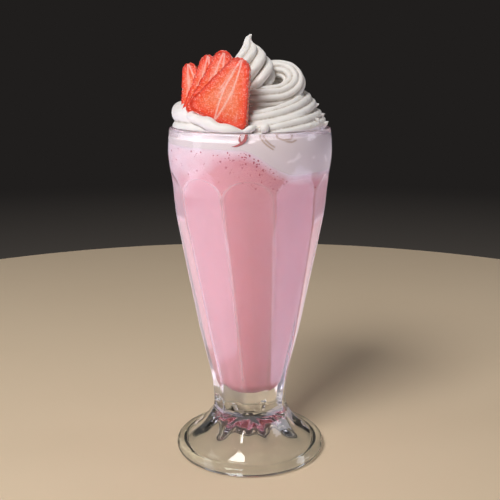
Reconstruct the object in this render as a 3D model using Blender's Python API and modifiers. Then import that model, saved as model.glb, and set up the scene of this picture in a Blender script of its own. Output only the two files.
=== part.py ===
"""A strawberry milkshake in a fluted soda glass, topped with piped cream and strawberry slices.

Metres, +Z up. The origin is the middle of the foot, on the table, and -Y is the front.
"""

import math

import bmesh
import bpy
from mathutils import Matrix, Vector

COLLECTION = "milkshake"
CUTTERS = "cutters"
GAP = 0.0004  # clearance between the drink, the cream and the glass
SLICE_GAP = 0.0003  # clearance round a slice where it stands in the cream
TINY = 1e-6

# The glass stands 185 mm high. Each pair is a height and the outer radius there.
GLASS_HEIGHT = 0.1850
OUTER = (
    (0.0062, 0.0364),
    (0.0104, 0.0326),
    (0.0140, 0.0288),
    (0.0180, 0.0255),
    (0.0220, 0.0229),
    (0.0265, 0.0213),
    (0.0293, 0.0211),
    (0.0765, 0.0296),
    (0.1260, 0.0389),
    (0.1400, 0.0413),
    (0.1520, 0.0423),
    (0.1600, 0.0428),
    (0.1660, 0.0437),
    (0.1720, 0.0442),
    (0.1800, 0.0438),
    (0.1836, 0.0433),
)
# The heights and radii of the bowl's inner wall, above its round bottom.
INNER = (
    (0.0440, 0.0130),
    (0.0700, 0.0177),
    (0.0870, 0.0208),
    (0.1150, 0.0258),
    (0.1350, 0.0312),
    (0.1520, 0.0360),
    (0.1650, 0.0389),
    (0.1750, 0.0402),
    (0.1836, 0.0405),
)
BOWL_BOTTOM = 0.0365
# The hollow under the foot, from its edge to the middle: radii and heights.
UNDERSIDE = (
    (0.0376, 0.0010),
    (0.0352, 0.0036),
    (0.0300, 0.0078),
    (0.0240, 0.0118),
    (0.0170, 0.0156),
    (0.0090, 0.0182),
    (0.0, 0.0192),
)
FOOT_RING_RADIUS = 0.0397  # middle of the bead round the foot
FOOT_BEAD = 0.0029
FOOT_FLAT_INNER = 0.0382
GLASS_COLUMNS = 50

# Ten flat panels are pressed into the bowl and the foot, and turn a little as they go down.
PANELS = 10
PANEL_FRONT = math.radians(-90)
HALF_PANEL = math.pi / PANELS
ARCH_TOP = 0.1615
ARCH_SPRING = 0.1505
FOOT_ARCH_SPRING = 0.0150
FOOT_ARCH_END = 0.0080
TURN_TOP, TURN_TOP_HEIGHT = math.radians(-1.5), 0.1500
TURN_FOOT, TURN_FOOT_HEIGHT = math.radians(9.0), 0.0400

# The drink is higher on the left, and the cream sinks into it on the right.
LEVEL_HIGH = 0.1775
LEVEL_LOW = 0.1625
LEVEL_FALL_START, LEVEL_FALL_WIDTH = -0.002, 0.026
DRINK_COLUMNS = 36
DISC_SHARES = (0.86, 0.72, 0.58, 0.44, 0.30, 0.15, 0.0)

# Piped cream. A rope's points are x, y, z and the radius of the rope.
STAR_LOBES = 8
STAR_VALLEY = 0.76
CREAM_VOXEL = 0.0009
CREAM_TRIANGLES = 5000
BASE_COIL = (
    (-0.006, -0.0330, 0.1820, 0.0045),
    (0.008, -0.0335, 0.1840, 0.0060),
    (0.021, -0.0285, 0.1862, 0.0074),
    (0.030, -0.0190, 0.1880, 0.0079),
    (0.0340, -0.0060, 0.1886, 0.0080),
    (0.0338, 0.0090, 0.1886, 0.0080),
    (0.0270, 0.0230, 0.1885, 0.0080),
    (0.0130, 0.0325, 0.1880, 0.0076),
    (-0.0040, 0.0350, 0.1876, 0.0074),
    (-0.0180, 0.0300, 0.1878, 0.0072),
    (-0.0270, 0.0225, 0.1886, 0.0060),
    (-0.0315, 0.0130, 0.1896, 0.0035),
)
LOW_COIL = (
    (-0.022, -0.010, 0.1870, 0.0070),
    (-0.010, -0.022, 0.1870, 0.0072),
    (0.004, -0.027, 0.1882, 0.0074),
    (0.018, -0.023, 0.1912, 0.0078),
    (0.027, -0.013, 0.1945, 0.0080),
    (0.030, 0.001, 0.1962, 0.0076),
    (0.025, 0.016, 0.1975, 0.0074),
    (0.011, 0.025, 0.1985, 0.0074),
    (-0.006, 0.024, 0.1990, 0.0074),
    (-0.017, 0.012, 0.1995, 0.0072),
    (-0.018, -0.002, 0.1995, 0.0070),
)
TOP_COIL = (
    (-0.014, 0.010, 0.2000, 0.0060),
    (-0.015, -0.003, 0.2005, 0.0064),
    (-0.006, -0.012, 0.2005, 0.0068),
    (0.007, -0.012, 0.2012, 0.0070),
    (0.017, -0.009, 0.2025, 0.0073),
    (0.0228, -0.004, 0.2068, 0.0072),
    (0.0210, 0.001, 0.2118, 0.0070),
    (0.0130, 0.003, 0.2140, 0.0068),
    (0.0040, 0.003, 0.2125, 0.0060),
)
# The last drop stands on the coils: x, y, z, radius and how far its ridges have turned.
DROP = (
    (0.0020, -0.0060, 0.2005, 0.0060, 0),
    (0.0018, -0.0060, 0.2045, 0.0098, 20),
    (0.0015, -0.0055, 0.2090, 0.0122, 42),
    (0.0012, -0.0048, 0.2135, 0.0132, 64),
    (0.0008, -0.0040, 0.2175, 0.0128, 84),
    (0.0004, -0.0030, 0.2210, 0.0108, 102),
    (0.0000, -0.0020, 0.2240, 0.0084, 118),
    (-0.0004, -0.0012, 0.2268, 0.0058, 134),
    (-0.0006, -0.0006, 0.2293, 0.0036, 148),
    (-0.0001, -0.0002, 0.2314, 0.0019, 160),
    (0.0010, 0.0000, 0.2330, 0.0006, 170),
)
# A plain fold of cream lies along the left of the rim.
FOLD = (
    (-0.0060, -0.0270, 0.1840, 0.0030),
    (-0.0140, -0.0265, 0.1866, 0.0044),
    (-0.0235, -0.0235, 0.1890, 0.0062),
    (-0.0315, -0.0145, 0.1908, 0.0078),
    (-0.0350, 0.0000, 0.1914, 0.0084),
    (-0.0320, 0.0150, 0.1904, 0.0080),
    (-0.0220, 0.0270, 0.1886, 0.0070),
    (-0.0080, 0.0330, 0.1860, 0.0050),
)
CORE_BASE, CORE_TOP = 0.1780, 0.2060
CORE_BASE_RADIUS, CORE_TOP_RADIUS = 0.0360, 0.0130
CORE_X, CORE_Y = 0.0030, 0.0030
FILL_BASE, FILL_TOP, FILL_RADIUS = 0.1500, 0.1836, 0.0460
DOME_MIDDLE, DOME_RISE = 0.1764, 0.0156
CREAM_LIMIT_RADIUS = 0.0438
CREAM_LIMIT_TOP = 0.2400

# Four slices cut lengthwise stand in a fan, one behind another, facing front and a little left.
FAN_FOOT = Vector((-0.0139, -0.0330, 0.1907))
FAN_YAW, FAN_TILT = math.radians(14.5), math.radians(13.5)
# Each slice: tip to the right and up from the fan's foot, depth, lean, length, width, thickness.
SLICES = (
    ("strawberry_slice_1", 0.0092, 0.0310, 0.0000, 22, 0.0340, 0.0315, 0.0042),
    ("strawberry_slice_2", -0.0016, 0.0359, 0.0046, 12, 0.0350, 0.0250, 0.0036),
    ("strawberry_slice_3", -0.0114, 0.0349, 0.0092, 4, 0.0330, 0.0215, 0.0036),
    ("strawberry_slice_4", -0.0238, 0.0317, 0.0138, -15, 0.0290, 0.0190, 0.0036),
)
SLICE_POINTS = 30
SLICE_CHAMFER = 0.0005
CORNER_SHARE, TIP_SHARE = 0.14, 0.20  # round corners and tip, as shares of a slice's width


def clear_scene():
    """Start from an empty scene."""
    for thing in list(bpy.data.objects):
        bpy.data.objects.remove(thing, do_unlink=True)


def new_collection(name):
    """A collection linked to the scene."""
    collection = bpy.data.collections.new(name)
    bpy.context.scene.collection.children.link(collection)
    return collection


def material(name, colour, roughness, alpha=1.0, transmission=0.0):
    """A Principled material; colour is linear RGB."""
    result = bpy.data.materials.new(name)
    result.use_nodes = True
    shader = result.node_tree.nodes["Principled BSDF"]
    shader.inputs["Base Color"].default_value = (*colour, 1.0)
    shader.inputs["Roughness"].default_value = roughness
    shader.inputs["Metallic"].default_value = 0.0
    shader.inputs["Alpha"].default_value = alpha
    shader.inputs["Transmission Weight"].default_value = transmission
    return result


def slopes(points):
    """Slopes of a smooth curve through the points that never overshoots them."""
    steps = [(b[1] - a[1]) / (b[0] - a[0]) for a, b in zip(points, points[1:])]
    inner = [
        2 * a * b / (a + b) if a * b > 0 else 0.0
        for a, b in zip(steps, steps[1:])
    ]
    return [steps[0], *inner, steps[-1]]


def curve_value(points, x):
    """The height at x of the smooth curve through points whose x rises."""
    x = min(max(x, points[0][0]), points[-1][0])
    tangents = slopes(points)
    for index, (low, high) in enumerate(zip(points, points[1:])):
        if x <= high[0]:
            break
    width = high[0] - low[0]
    t = (x - low[0]) / width
    return (
        (1 + 2 * t) * (1 - t) ** 2 * low[1]
        + t * (1 - t) ** 2 * width * tangents[index]
        + t * t * (3 - 2 * t) * high[1]
        + t * t * (t - 1) * width * tangents[index + 1]
    )


def ease(t):
    """0 below 0, 1 above 1 and smooth between."""
    t = min(max(t, 0.0), 1.0)
    return t * t * (3 - 2 * t)


def outer_radius(z):
    return curve_value(OUTER, z)


def inner_radius(z):
    return curve_value(INNER, z)


def wall_radius(z):
    """How far the drink and the cream reach at height z inside the glass."""
    return inner_radius(z) - GAP


def surface_height(x):
    """The height of the drink's surface, which falls to the right."""
    fall = ease((x - LEVEL_FALL_START) / LEVEL_FALL_WIDTH)
    return LEVEL_HIGH - (LEVEL_HIGH - LEVEL_LOW) * fall


def arc(radius, z, size, start, end, count):
    """Points of an arc round (radius, z), from one angle in degrees to another."""
    angles = [math.radians(start + (end - start) * k / (count - 1)) for k in range(count)]
    return [(radius + size * math.cos(a), z + size * math.sin(a)) for a in angles]


def bowl_bottom(clearance):
    """The bowl's round bottom from the axis to its wall, raised and drawn in by a clearance."""
    wall_height, wall = INNER[0]
    reach = wall - clearance
    depth = wall_height - BOWL_BOTTOM - clearance
    angles = [math.radians(a) for a in (0, 25, 50, 75)]
    return [(reach * math.sin(a), wall_height - depth * math.cos(a)) for a in angles]


def turned(name, outline, columns, collection):
    """A closed outline of (radius, z) points turned round Z, as a mesh object."""
    mesh = bpy.data.meshes.new(name)
    points = [(radius, 0, z) for radius, z in outline]
    mesh.from_pydata(points, [(k, k + 1) for k in range(len(points) - 1)], [])
    guide = bpy.data.objects.new(name + "_outline", mesh)
    collection.objects.link(guide)
    screw = guide.modifiers.new("turn", "SCREW")
    screw.steps = screw.render_steps = columns
    screw.use_merge_vertices = True
    screw.merge_threshold = 1e-5
    return as_mesh(guide, name, collection)


def as_mesh(source, name, collection):
    """Replace an object by its evaluated mesh, welded and with faces pointing out."""
    graph = bpy.context.evaluated_depsgraph_get()
    mesh = bpy.data.meshes.new_from_object(source.evaluated_get(graph))
    result = bpy.data.objects.new(name, mesh)
    result.matrix_world = source.matrix_world.copy()
    collection.objects.link(result)
    bpy.data.objects.remove(source, do_unlink=True)
    mesh.materials.clear()
    shape = bmesh.new()
    shape.from_mesh(mesh)
    bmesh.ops.remove_doubles(shape, verts=shape.verts, dist=TINY)
    bmesh.ops.dissolve_degenerate(shape, edges=shape.edges, dist=TINY)
    bmesh.ops.recalc_face_normals(shape, faces=shape.faces)
    if shape.calc_volume(signed=True) < 0:
        bmesh.ops.reverse_faces(shape, faces=shape.faces)
    shape.to_mesh(mesh)
    shape.free()
    return result


def panel_share(z, angle):
    """How much of the round outer radius is left where a flat panel cuts it."""
    if z > ARCH_SPRING:
        climb = (z - ARCH_SPRING) / (ARCH_TOP - ARCH_SPRING)
    else:
        climb = (FOOT_ARCH_SPRING - z) / (FOOT_ARCH_SPRING - FOOT_ARCH_END)
    if climb >= 1:
        return 1.0
    half_width = HALF_PANEL * math.sqrt(1 - max(climb, 0.0) ** 2)
    off_centre = (angle - PANEL_FRONT + HALF_PANEL) % (2 * HALF_PANEL) - HALF_PANEL
    return min(1.0, math.cos(half_width) / math.cos(off_centre))


def flute_turn(z):
    """How far the panels have turned round the glass at height z."""
    share = (TURN_TOP_HEIGHT - z) / (TURN_TOP_HEIGHT - TURN_FOOT_HEIGHT)
    share = min(max(share, 0.0), 1.0)
    return TURN_TOP + (TURN_FOOT - TURN_TOP) * share


def press_panels(mesh):
    """Press the flat panels into a turned glass and turn them with height."""
    for vertex in mesh.vertices:
        x, y, z = vertex.co
        radius = math.hypot(x, y)
        angle = math.atan2(y, x)
        if z >= OUTER[0][0] and abs(radius - outer_radius(z)) < TINY:
            radius *= panel_share(z, angle)
        angle += flute_turn(z)
        vertex.co = (radius * math.cos(angle), radius * math.sin(angle), z)


def build_glass(collection):
    """The bowl, its solid stem and the hollow foot, as one piece of glass."""
    inner_rows = (0.0440, 0.0700, 0.0950, 0.1150, 0.1300, 0.1450, 0.1580, 0.1700)
    outer_rows = (
        (0.1800, 0.1750, 0.1700, 0.1660, 0.1635, ARCH_TOP, 0.1600, 0.1580, 0.1545, ARCH_SPRING)
        + (0.1400, 0.1200, 0.1000, 0.0800, 0.0600, 0.0400, 0.0293, 0.0255, 0.0215, 0.0180)
        + (FOOT_ARCH_SPRING, 0.0120, 0.0098, FOOT_ARCH_END, OUTER[0][0])
    )
    rim_low, rim_outer = OUTER[-1]
    rim_inner = INNER[-1][1]
    outline = bowl_bottom(0.0)
    outline += [(inner_radius(z), z) for z in inner_rows]
    rim_middle = (rim_inner + rim_outer) / 2
    outline += arc(rim_middle, rim_low, GLASS_HEIGHT - rim_low, 180, 0, 5)
    outline += [(outer_radius(z), z) for z in outer_rows]
    outline += arc(FOOT_RING_RADIUS, FOOT_BEAD, FOOT_BEAD, 115, -90, 7)
    outline += [(FOOT_FLAT_INNER, 0.0), *UNDERSIDE]
    glass = turned("glass", outline, GLASS_COLUMNS, collection)
    press_panels(glass.data)
    return glass


def meet_level(mesh, start, end, offset):
    """Move the flat end at height end onto the drink's surface plus offset.

    The rows of wall between start and end are spaced out evenly below or above it. Each quad is
    split along its shorter diagonal, so that the drink and the cream fold along the same lines.
    """
    for vertex in mesh.vertices:
        x, y, z = vertex.co
        share = min((z - start) / (end - start), 1.0)
        if share <= 0:
            continue
        height = start + share * (surface_height(x) + offset - start)
        stretch = wall_radius(height) / wall_radius(z)
        vertex.co = (x * stretch, y * stretch, height)
    shape = bmesh.new()
    shape.from_mesh(mesh)
    bmesh.ops.triangulate(shape, faces=shape.faces, quad_method="SHORT_EDGE")
    shape.to_mesh(mesh)
    shape.free()


def build_milkshake(collection):
    """The drink, up to its level."""
    wall_rows = (0.0440, 0.0700, 0.0950, 0.1150, 0.1300, 0.1430, 0.1550, 0.1660, LEVEL_HIGH)
    outline = bowl_bottom(GAP)
    outline += [(wall_radius(z), z) for z in wall_rows]
    outline += [(wall_radius(LEVEL_HIGH) * share, LEVEL_HIGH) for share in DISC_SHARES]
    drink = turned("milkshake", outline, DRINK_COLUMNS, collection)
    meet_level(drink.data, wall_rows[0], LEVEL_HIGH, 0.0)
    return drink


def cream_limit(collection):
    """The room that the cream may fill: above the drink, inside the glass and over its rim."""
    disc = [(wall_radius(LEVEL_HIGH) * share, LEVEL_HIGH) for share in DISC_SHARES[::-1]]
    rim_low = INNER[-1][0]
    wall = [(wall_radius(z), z) for z in (LEVEL_HIGH, 0.1800, rim_low)]
    over = GLASS_HEIGHT + GAP
    outline = disc + wall + [(wall_radius(rim_low), over), (CREAM_LIMIT_RADIUS, over)]
    outline += [(CREAM_LIMIT_RADIUS, CREAM_LIMIT_TOP), (0.0, CREAM_LIMIT_TOP)]
    limit = turned("cream_limit", outline, DRINK_COLUMNS, collection)
    meet_level(limit.data, rim_low, LEVEL_HIGH, GAP)
    hide(limit)
    return limit


def hide(thing):
    """Mark a cutter or a guide."""
    thing.hide_render = True
    thing.display_type = "WIRE"


def star_section(collection):
    """The star-shaped hole of the piping nozzle, one unit in radius."""
    curve = bpy.data.curves.new("star", "CURVE")
    curve.dimensions = "2D"
    curve.fill_mode = "NONE"
    spline = curve.splines.new("POLY")
    count = STAR_LOBES * 2
    spline.points.add(count - 1)
    for k, point in enumerate(spline.points):
        angle = 2 * math.pi * k / count
        radius = 1.0 if k % 2 == 0 else STAR_VALLEY
        point.co = (radius * math.cos(angle), radius * math.sin(angle), 0, 1)
    spline.use_cyclic_u = True
    star = bpy.data.objects.new("star", curve)
    collection.objects.link(star)
    hide(star)
    return star


def rope(name, points, collection, section=None, turns=None):
    """A rope of cream through points of x, y, z and radius, round or with a piped section."""
    curve = bpy.data.curves.new(name, "CURVE")
    curve.dimensions = "3D"
    curve.use_fill_caps = True
    curve.resolution_u = 6
    if section:
        curve.bevel_mode = "OBJECT"
        curve.bevel_object = section
    else:
        curve.bevel_depth = 1.0
        curve.bevel_resolution = 4
    spline = curve.splines.new("NURBS")
    spline.points.add(len(points) - 1)
    spline.order_u = 3
    spline.use_endpoint_u = True
    for k, (point, (x, y, z, radius)) in enumerate(zip(spline.points, points)):
        point.co = (x, y, z, 1)
        point.radius = radius
        point.tilt = math.radians(turns[k]) if turns else 0.0
    thing = bpy.data.objects.new(name, curve)
    collection.objects.link(thing)
    return as_mesh(thing, name, collection)


def cone(name, base, top, base_radius, top_radius, x, y, collection):
    """A truncated cone between two heights."""
    mesh = bpy.data.meshes.new(name)
    shape = bmesh.new()
    middle = Matrix.Translation((x, y, (base + top) / 2))
    bmesh.ops.create_cone(
        shape,
        cap_ends=True,
        segments=48,
        radius1=base_radius,
        radius2=top_radius,
        depth=top - base,
        matrix=middle,
    )
    shape.to_mesh(mesh)
    shape.free()
    thing = bpy.data.objects.new(name, mesh)
    collection.objects.link(thing)
    return thing


def dome(name, collection):
    """The low dome of cream that rises from the rim to the coils."""
    mesh = bpy.data.meshes.new(name)
    shape = bmesh.new()
    place = Matrix.Translation((0, 0, DOME_MIDDLE))
    stretch = Matrix.Diagonal((FILL_RADIUS, FILL_RADIUS, DOME_RISE, 1))
    bmesh.ops.create_uvsphere(shape, u_segments=48, v_segments=24, radius=1, matrix=place @ stretch)
    shape.to_mesh(mesh)
    shape.free()
    thing = bpy.data.objects.new(name, mesh)
    collection.objects.link(thing)
    return thing


def apply_modifiers(thing, collection):
    """The object with its modifiers applied, under the same name."""
    name = thing.name
    thing.name = name + "_source"
    return as_mesh(thing, name, collection)


def merge(name, things, collection):
    """One mesh object that holds the meshes of several, which are removed."""
    shape = bmesh.new()
    for thing in things:
        part = thing.data.copy()
        part.transform(thing.matrix_world)
        shape.from_mesh(part)
        bpy.data.meshes.remove(part)
        bpy.data.objects.remove(thing, do_unlink=True)
    mesh = bpy.data.meshes.new(name)
    shape.to_mesh(mesh)
    shape.free()
    result = bpy.data.objects.new(name, mesh)
    collection.objects.link(result)
    return result


def boolean(thing, cutter, operation):
    """Add a Boolean modifier."""
    modifier = thing.modifiers.new(operation.lower(), "BOOLEAN")
    modifier.operation = operation
    modifier.object = cutter


def keep_largest(mesh):
    """Drop the loose scraps that a cut leaves beside the main body."""
    shape = bmesh.new()
    shape.from_mesh(mesh)
    unseen = set(shape.verts)
    bodies = []
    while unseen:
        body = {unseen.pop()}
        edge_of = list(body)
        while edge_of:
            vertex = edge_of.pop()
            for edge in vertex.link_edges:
                other = edge.other_vert(vertex)
                if other not in body:
                    body.add(other)
                    edge_of.append(other)
        unseen -= body
        bodies.append(body)
    largest = max(bodies, key=len)
    scraps = [vertex for vertex in shape.verts if vertex not in largest]
    bmesh.ops.delete(shape, geom=scraps, context="VERTS")
    shape.to_mesh(mesh)
    shape.free()


def build_cream(collection, cutters):
    """The cream in and on the glass: piped coils, a last drop, a fold and what fills between."""
    star = star_section(cutters)
    pieces = [
        rope("base_coil", BASE_COIL, cutters, star),
        rope("low_coil", LOW_COIL, cutters, star),
        rope("top_coil", TOP_COIL, cutters, star),
        rope("drop", [p[:4] for p in DROP], cutters, star, [p[4] for p in DROP]),
        rope("fold", FOLD, cutters),
        cone("core", CORE_BASE, CORE_TOP, CORE_BASE_RADIUS, CORE_TOP_RADIUS, CORE_X, CORE_Y, cutters),
        cone("fill", FILL_BASE, FILL_TOP, FILL_RADIUS, FILL_RADIUS, 0, 0, cutters),
        dome("dome", cutters),
    ]
    cream = merge("whipped_cream", pieces, collection)
    skin = cream.modifiers.new("one_body", "REMESH")
    skin.mode = "VOXEL"
    skin.voxel_size = CREAM_VOXEL
    cream = apply_modifiers(cream, collection)
    thin = cream.modifiers.new("fewer_faces", "DECIMATE")
    thin.ratio = CREAM_TRIANGLES / (2 * len(cream.data.polygons))
    cream = apply_modifiers(cream, collection)
    boolean(cream, cream_limit(cutters), "INTERSECT")
    for number, sizes in enumerate(SLICES):
        pocket = slice_shape("pocket_%d" % (number + 1), sizes, SLICE_GAP, cutters)
        hide(pocket)
        boolean(cream, pocket, "DIFFERENCE")
    cream = apply_modifiers(cream, collection)
    keep_largest(cream.data)
    return cream


def berry_outline(length, width, grow):
    """The outline of a strawberry cut lengthwise, with Y from its cut top at 0 to its tip.

    It runs round three circles, two at the corners of the cut top and one at the tip.
    """
    corner = width * CORNER_SHARE
    tip = width * TIP_SHARE
    circles = (
        (-width / 2 + corner, corner, corner),
        (width / 2 - corner, corner, corner),
        (0.0, length - tip, tip),
    )
    outline = []
    for k in range(SLICE_POINTS):
        angle = 2 * math.pi * (k + 0.5) / SLICE_POINTS
        c, s = math.cos(angle), math.sin(angle)
        x, y, radius = max(circles, key=lambda circle: circle[0] * c + circle[1] * s + circle[2])
        outline.append((x + (radius + grow) * c, y + (radius + grow) * s))
    return outline


def slice_frame(tip_right, tip_up, depth, lean, length):
    """Where a slice stands: X across it, Y from its cut top to its tip, Z out of its face."""
    right = Vector((math.cos(FAN_YAW), -math.sin(FAN_YAW), 0))
    level_back = Vector((math.sin(FAN_YAW), math.cos(FAN_YAW), 0))
    up = level_back * math.sin(FAN_TILT) + Vector((0, 0, math.cos(FAN_TILT)))
    back = level_back * math.cos(FAN_TILT) - Vector((0, 0, math.sin(FAN_TILT)))
    tip = FAN_FOOT + right * tip_right + up * tip_up + back * depth
    turn = math.radians(lean)
    along = right * math.sin(turn) + up * math.cos(turn)
    across = right * math.cos(turn) - up * math.sin(turn)
    frame = Matrix((across, along, -back)).transposed().to_4x4()
    frame.translation = tip - along * length
    return frame


def slice_shape(name, sizes, grow, collection):
    """A lengthwise slice of strawberry, grown by a clearance where it is a cutter."""
    _, tip_right, tip_up, depth, lean, length, width, thickness = sizes
    curve = bpy.data.curves.new(name, "CURVE")
    curve.dimensions = "2D"
    curve.fill_mode = "BOTH"
    curve.extrude = thickness / 2 + grow - SLICE_CHAMFER
    curve.bevel_depth = SLICE_CHAMFER
    curve.bevel_resolution = 0
    curve.offset = -SLICE_CHAMFER
    outline = berry_outline(length, width, grow)
    spline = curve.splines.new("POLY")
    spline.points.add(len(outline) - 1)
    for point, (x, y) in zip(spline.points, outline):
        point.co = (x, y, 0, 1)
    spline.use_cyclic_u = True
    thing = bpy.data.objects.new(name + "_outline", curve)
    collection.objects.link(thing)
    thing.matrix_world = slice_frame(tip_right, tip_up, depth, lean, length)
    bpy.context.view_layer.update()
    return as_mesh(thing, name, collection)


def shade(mesh):
    """Smooth round surfaces and keep the ridges crisp."""
    mesh.shade_smooth()
    mesh.set_sharp_from_angle(angle=math.radians(30))


def main():
    clear_scene()
    parts = new_collection(COLLECTION)
    cutters = new_collection(CUTTERS)
    clear_glass = material("clear_glass", (0.90, 0.93, 0.92), 0.03, 0.35, 1.0)
    pink_drink = material("pink_drink", (0.66, 0.33, 0.38), 0.35)
    cream_white = material("cream_white", (0.90, 0.86, 0.80), 0.45)
    berry_red = material("berry_red", (0.70, 0.06, 0.03), 0.30)

    finished = [
        (build_glass(parts), clear_glass),
        (build_milkshake(parts), pink_drink),
        (build_cream(parts, cutters), cream_white),
    ]
    for sizes in SLICES:
        finished.append((slice_shape(sizes[0], sizes, 0.0, parts), berry_red))
    for thing, finish in finished:
        thing.data.materials.append(finish)
        shade(thing.data)


main()
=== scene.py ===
"""The looks of a strawberry milkshake in a fluted soda glass, laid out as an add-on and run as a script."""

import math
import random

import bpy
import numpy as np
from mathutils import Matrix, Vector, noise


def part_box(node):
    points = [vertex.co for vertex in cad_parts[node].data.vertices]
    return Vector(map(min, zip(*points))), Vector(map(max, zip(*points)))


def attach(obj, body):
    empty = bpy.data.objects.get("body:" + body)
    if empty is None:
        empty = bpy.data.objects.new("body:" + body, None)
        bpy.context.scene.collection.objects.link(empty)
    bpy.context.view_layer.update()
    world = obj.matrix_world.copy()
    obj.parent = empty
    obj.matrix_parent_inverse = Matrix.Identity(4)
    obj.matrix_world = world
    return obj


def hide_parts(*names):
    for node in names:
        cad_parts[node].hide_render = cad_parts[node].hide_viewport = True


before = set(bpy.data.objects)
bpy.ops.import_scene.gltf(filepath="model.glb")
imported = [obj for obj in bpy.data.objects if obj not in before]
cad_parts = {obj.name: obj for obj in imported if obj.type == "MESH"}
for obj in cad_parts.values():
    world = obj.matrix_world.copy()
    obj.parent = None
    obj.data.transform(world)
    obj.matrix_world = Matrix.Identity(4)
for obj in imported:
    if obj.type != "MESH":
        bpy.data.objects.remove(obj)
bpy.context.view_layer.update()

bl_info = {
    "name": "Strawberry Milkshake",
    "version": (1, 0, 0),
    "blender": (4, 5, 0),
    "location": "3D View > Sidebar > Milkshake",
    "description": "Models a filled soda glass with piped cream and strawberry slices",
    "category": "Add Mesh",
}

BODY = "root"
TINY = 1e-6
MM = 0.001

# The glass. Each pair is a height and the radius there. The walls are the solid model's, and the
# hollow under the foot is a little flatter at its top.
GLASS_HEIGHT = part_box("glass")[1].z
OUTER = (
    (0.0062, 0.0364),
    (0.0104, 0.0326),
    (0.0140, 0.0288),
    (0.0180, 0.0255),
    (0.0220, 0.0229),
    (0.0265, 0.0213),
    (0.0293, 0.0211),
    (0.0765, 0.0296),
    (0.1260, 0.0389),
    (0.1400, 0.0413),
    (0.1520, 0.0423),
    (0.1600, 0.0428),
    (0.1660, 0.0437),
    (0.1720, 0.0442),
    (0.1800, 0.0438),
    (0.1836, 0.0433),
)
INNER = (
    (0.0440, 0.0130),
    (0.0700, 0.0177),
    (0.0870, 0.0208),
    (0.1150, 0.0258),
    (0.1350, 0.0312),
    (0.1520, 0.0360),
    (0.1650, 0.0389),
    (0.1750, 0.0402),
    (0.1836, 0.0405),
)
BOWL_BOTTOM = 0.0365
UNDERSIDE = (
    (0.0010, 0.0376),
    (0.0036, 0.0352),
    (0.0078, 0.0300),
    (0.0118, 0.0240),
    (0.0156, 0.0186),
    (0.0180, 0.0125),
    (0.0192, 0.0),
)
# The hollow is scalloped between the panels, over this span of its radius.
SCALLOP, SCALLOP_FROM, SCALLOP_TO = 0.0006, 0.0060, 0.0310
SCALLOP_RISE, SCALLOP_FALL = 0.008, 0.010
FOOT_RING_RADIUS = 0.0397
FOOT_BEAD, FOOT_BEAD_START = 0.0029, 115  # the bead's radius, and where its arc starts in degrees
FOOT_FLAT_INNER = 0.0382
GLASS_COLUMNS = 300
BOTTOM_ROWS, INNER_STEP, RIM_POINTS, BEAD_POINTS, HOLLOW_ROWS = 16, 0.0035, 17, 25, 40
ON_WALL = 5 * TINY  # a point this near the outer wall's curve lies on it
CURVE_SAMPLES = 1200

# The mist starts just under the bottom of the drink and is full a little above it.
MIST_LOW, MIST_BLEND = 0.0300, 0.0200
RIDGE_HIGHLIGHT_SHARE, FRONT_HIGHLIGHT_SHARE = 0.75, 0.12  # how much thicker the mist is on a ridge and down the middle of the front panel, as painted highlights
LEFT_SHEEN = 0.30  # and how much thicker at the left than at the front, as painted sheen

# Ten flat panels are pressed into the bowl and the foot.
PANELS = 10
PANEL_FRONT = math.radians(-90)
HALF_PANEL = math.pi / PANELS
ARCH_TOP, ARCH_SPRING = 0.1615, 0.1505
FOOT_ARCH_SPRING, FOOT_ARCH_END = 0.0150, 0.0080
# Where each stretch of the outer wall starts, and how far apart its rows are.
OUTER_ROWS = (
    (OUTER[0][0], 0.0005),
    (FOOT_ARCH_END - 0.0004, 0.00045),
    (FOOT_ARCH_SPRING, 0.0008),
    (0.0320, 0.0030),
    (ARCH_SPRING, 0.00032),
    (ARCH_TOP + 0.0006, 0.0009),
)
TURN_TOP, TURN_TOP_HEIGHT = math.radians(-1.5), 0.1500
TURN_FOOT, TURN_FOOT_HEIGHT = math.radians(9.0), 0.0400

# The drink's level falls to the right, where the cream sinks into it.
LEVEL_HIGH, LEVEL_LOW = 0.1775, 0.1645
LEVEL_FALL_START, LEVEL_FALL_WIDTH = -0.005, 0.027
DRINK_COLUMNS, DRINK_STEP, LEVEL_RINGS = 240, 0.0012, 40
WALL_REACH = 0.00015  # how far the drink and the cream reach into the glass
CLING, CLING_WIDTH = 0.8, 0.032  # how much further down the froth clings to the wall on the left

# Specks of fruit. Every third one is near the front, and most are close under the drink's level.
SPECK_SEED, SPECK_FRONT_EVERY = 31, 3
SPECK_FRONT, SPECK_SPREAD = math.radians(-88), math.radians(15)
SPECK_TOP, SPECK_DOWN, SPECK_LOWEST = 0.0016, 0.0065, 0.120
SPECK_RADIUS = 0.040  # about how far from the axis they lie
SPECK_SIZES = (0.00010, 0.00062, 0.00020)  # the least, the greatest and the most usual
SPECK_THICKNESS = 0.00010
SPECK_ACROSS, SPECK_ALONG = (0.8, 1.0), (0.9, 1.3)
SPECK_TURN = 6.28  # they lie turned by anything up to this, in radians

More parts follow.
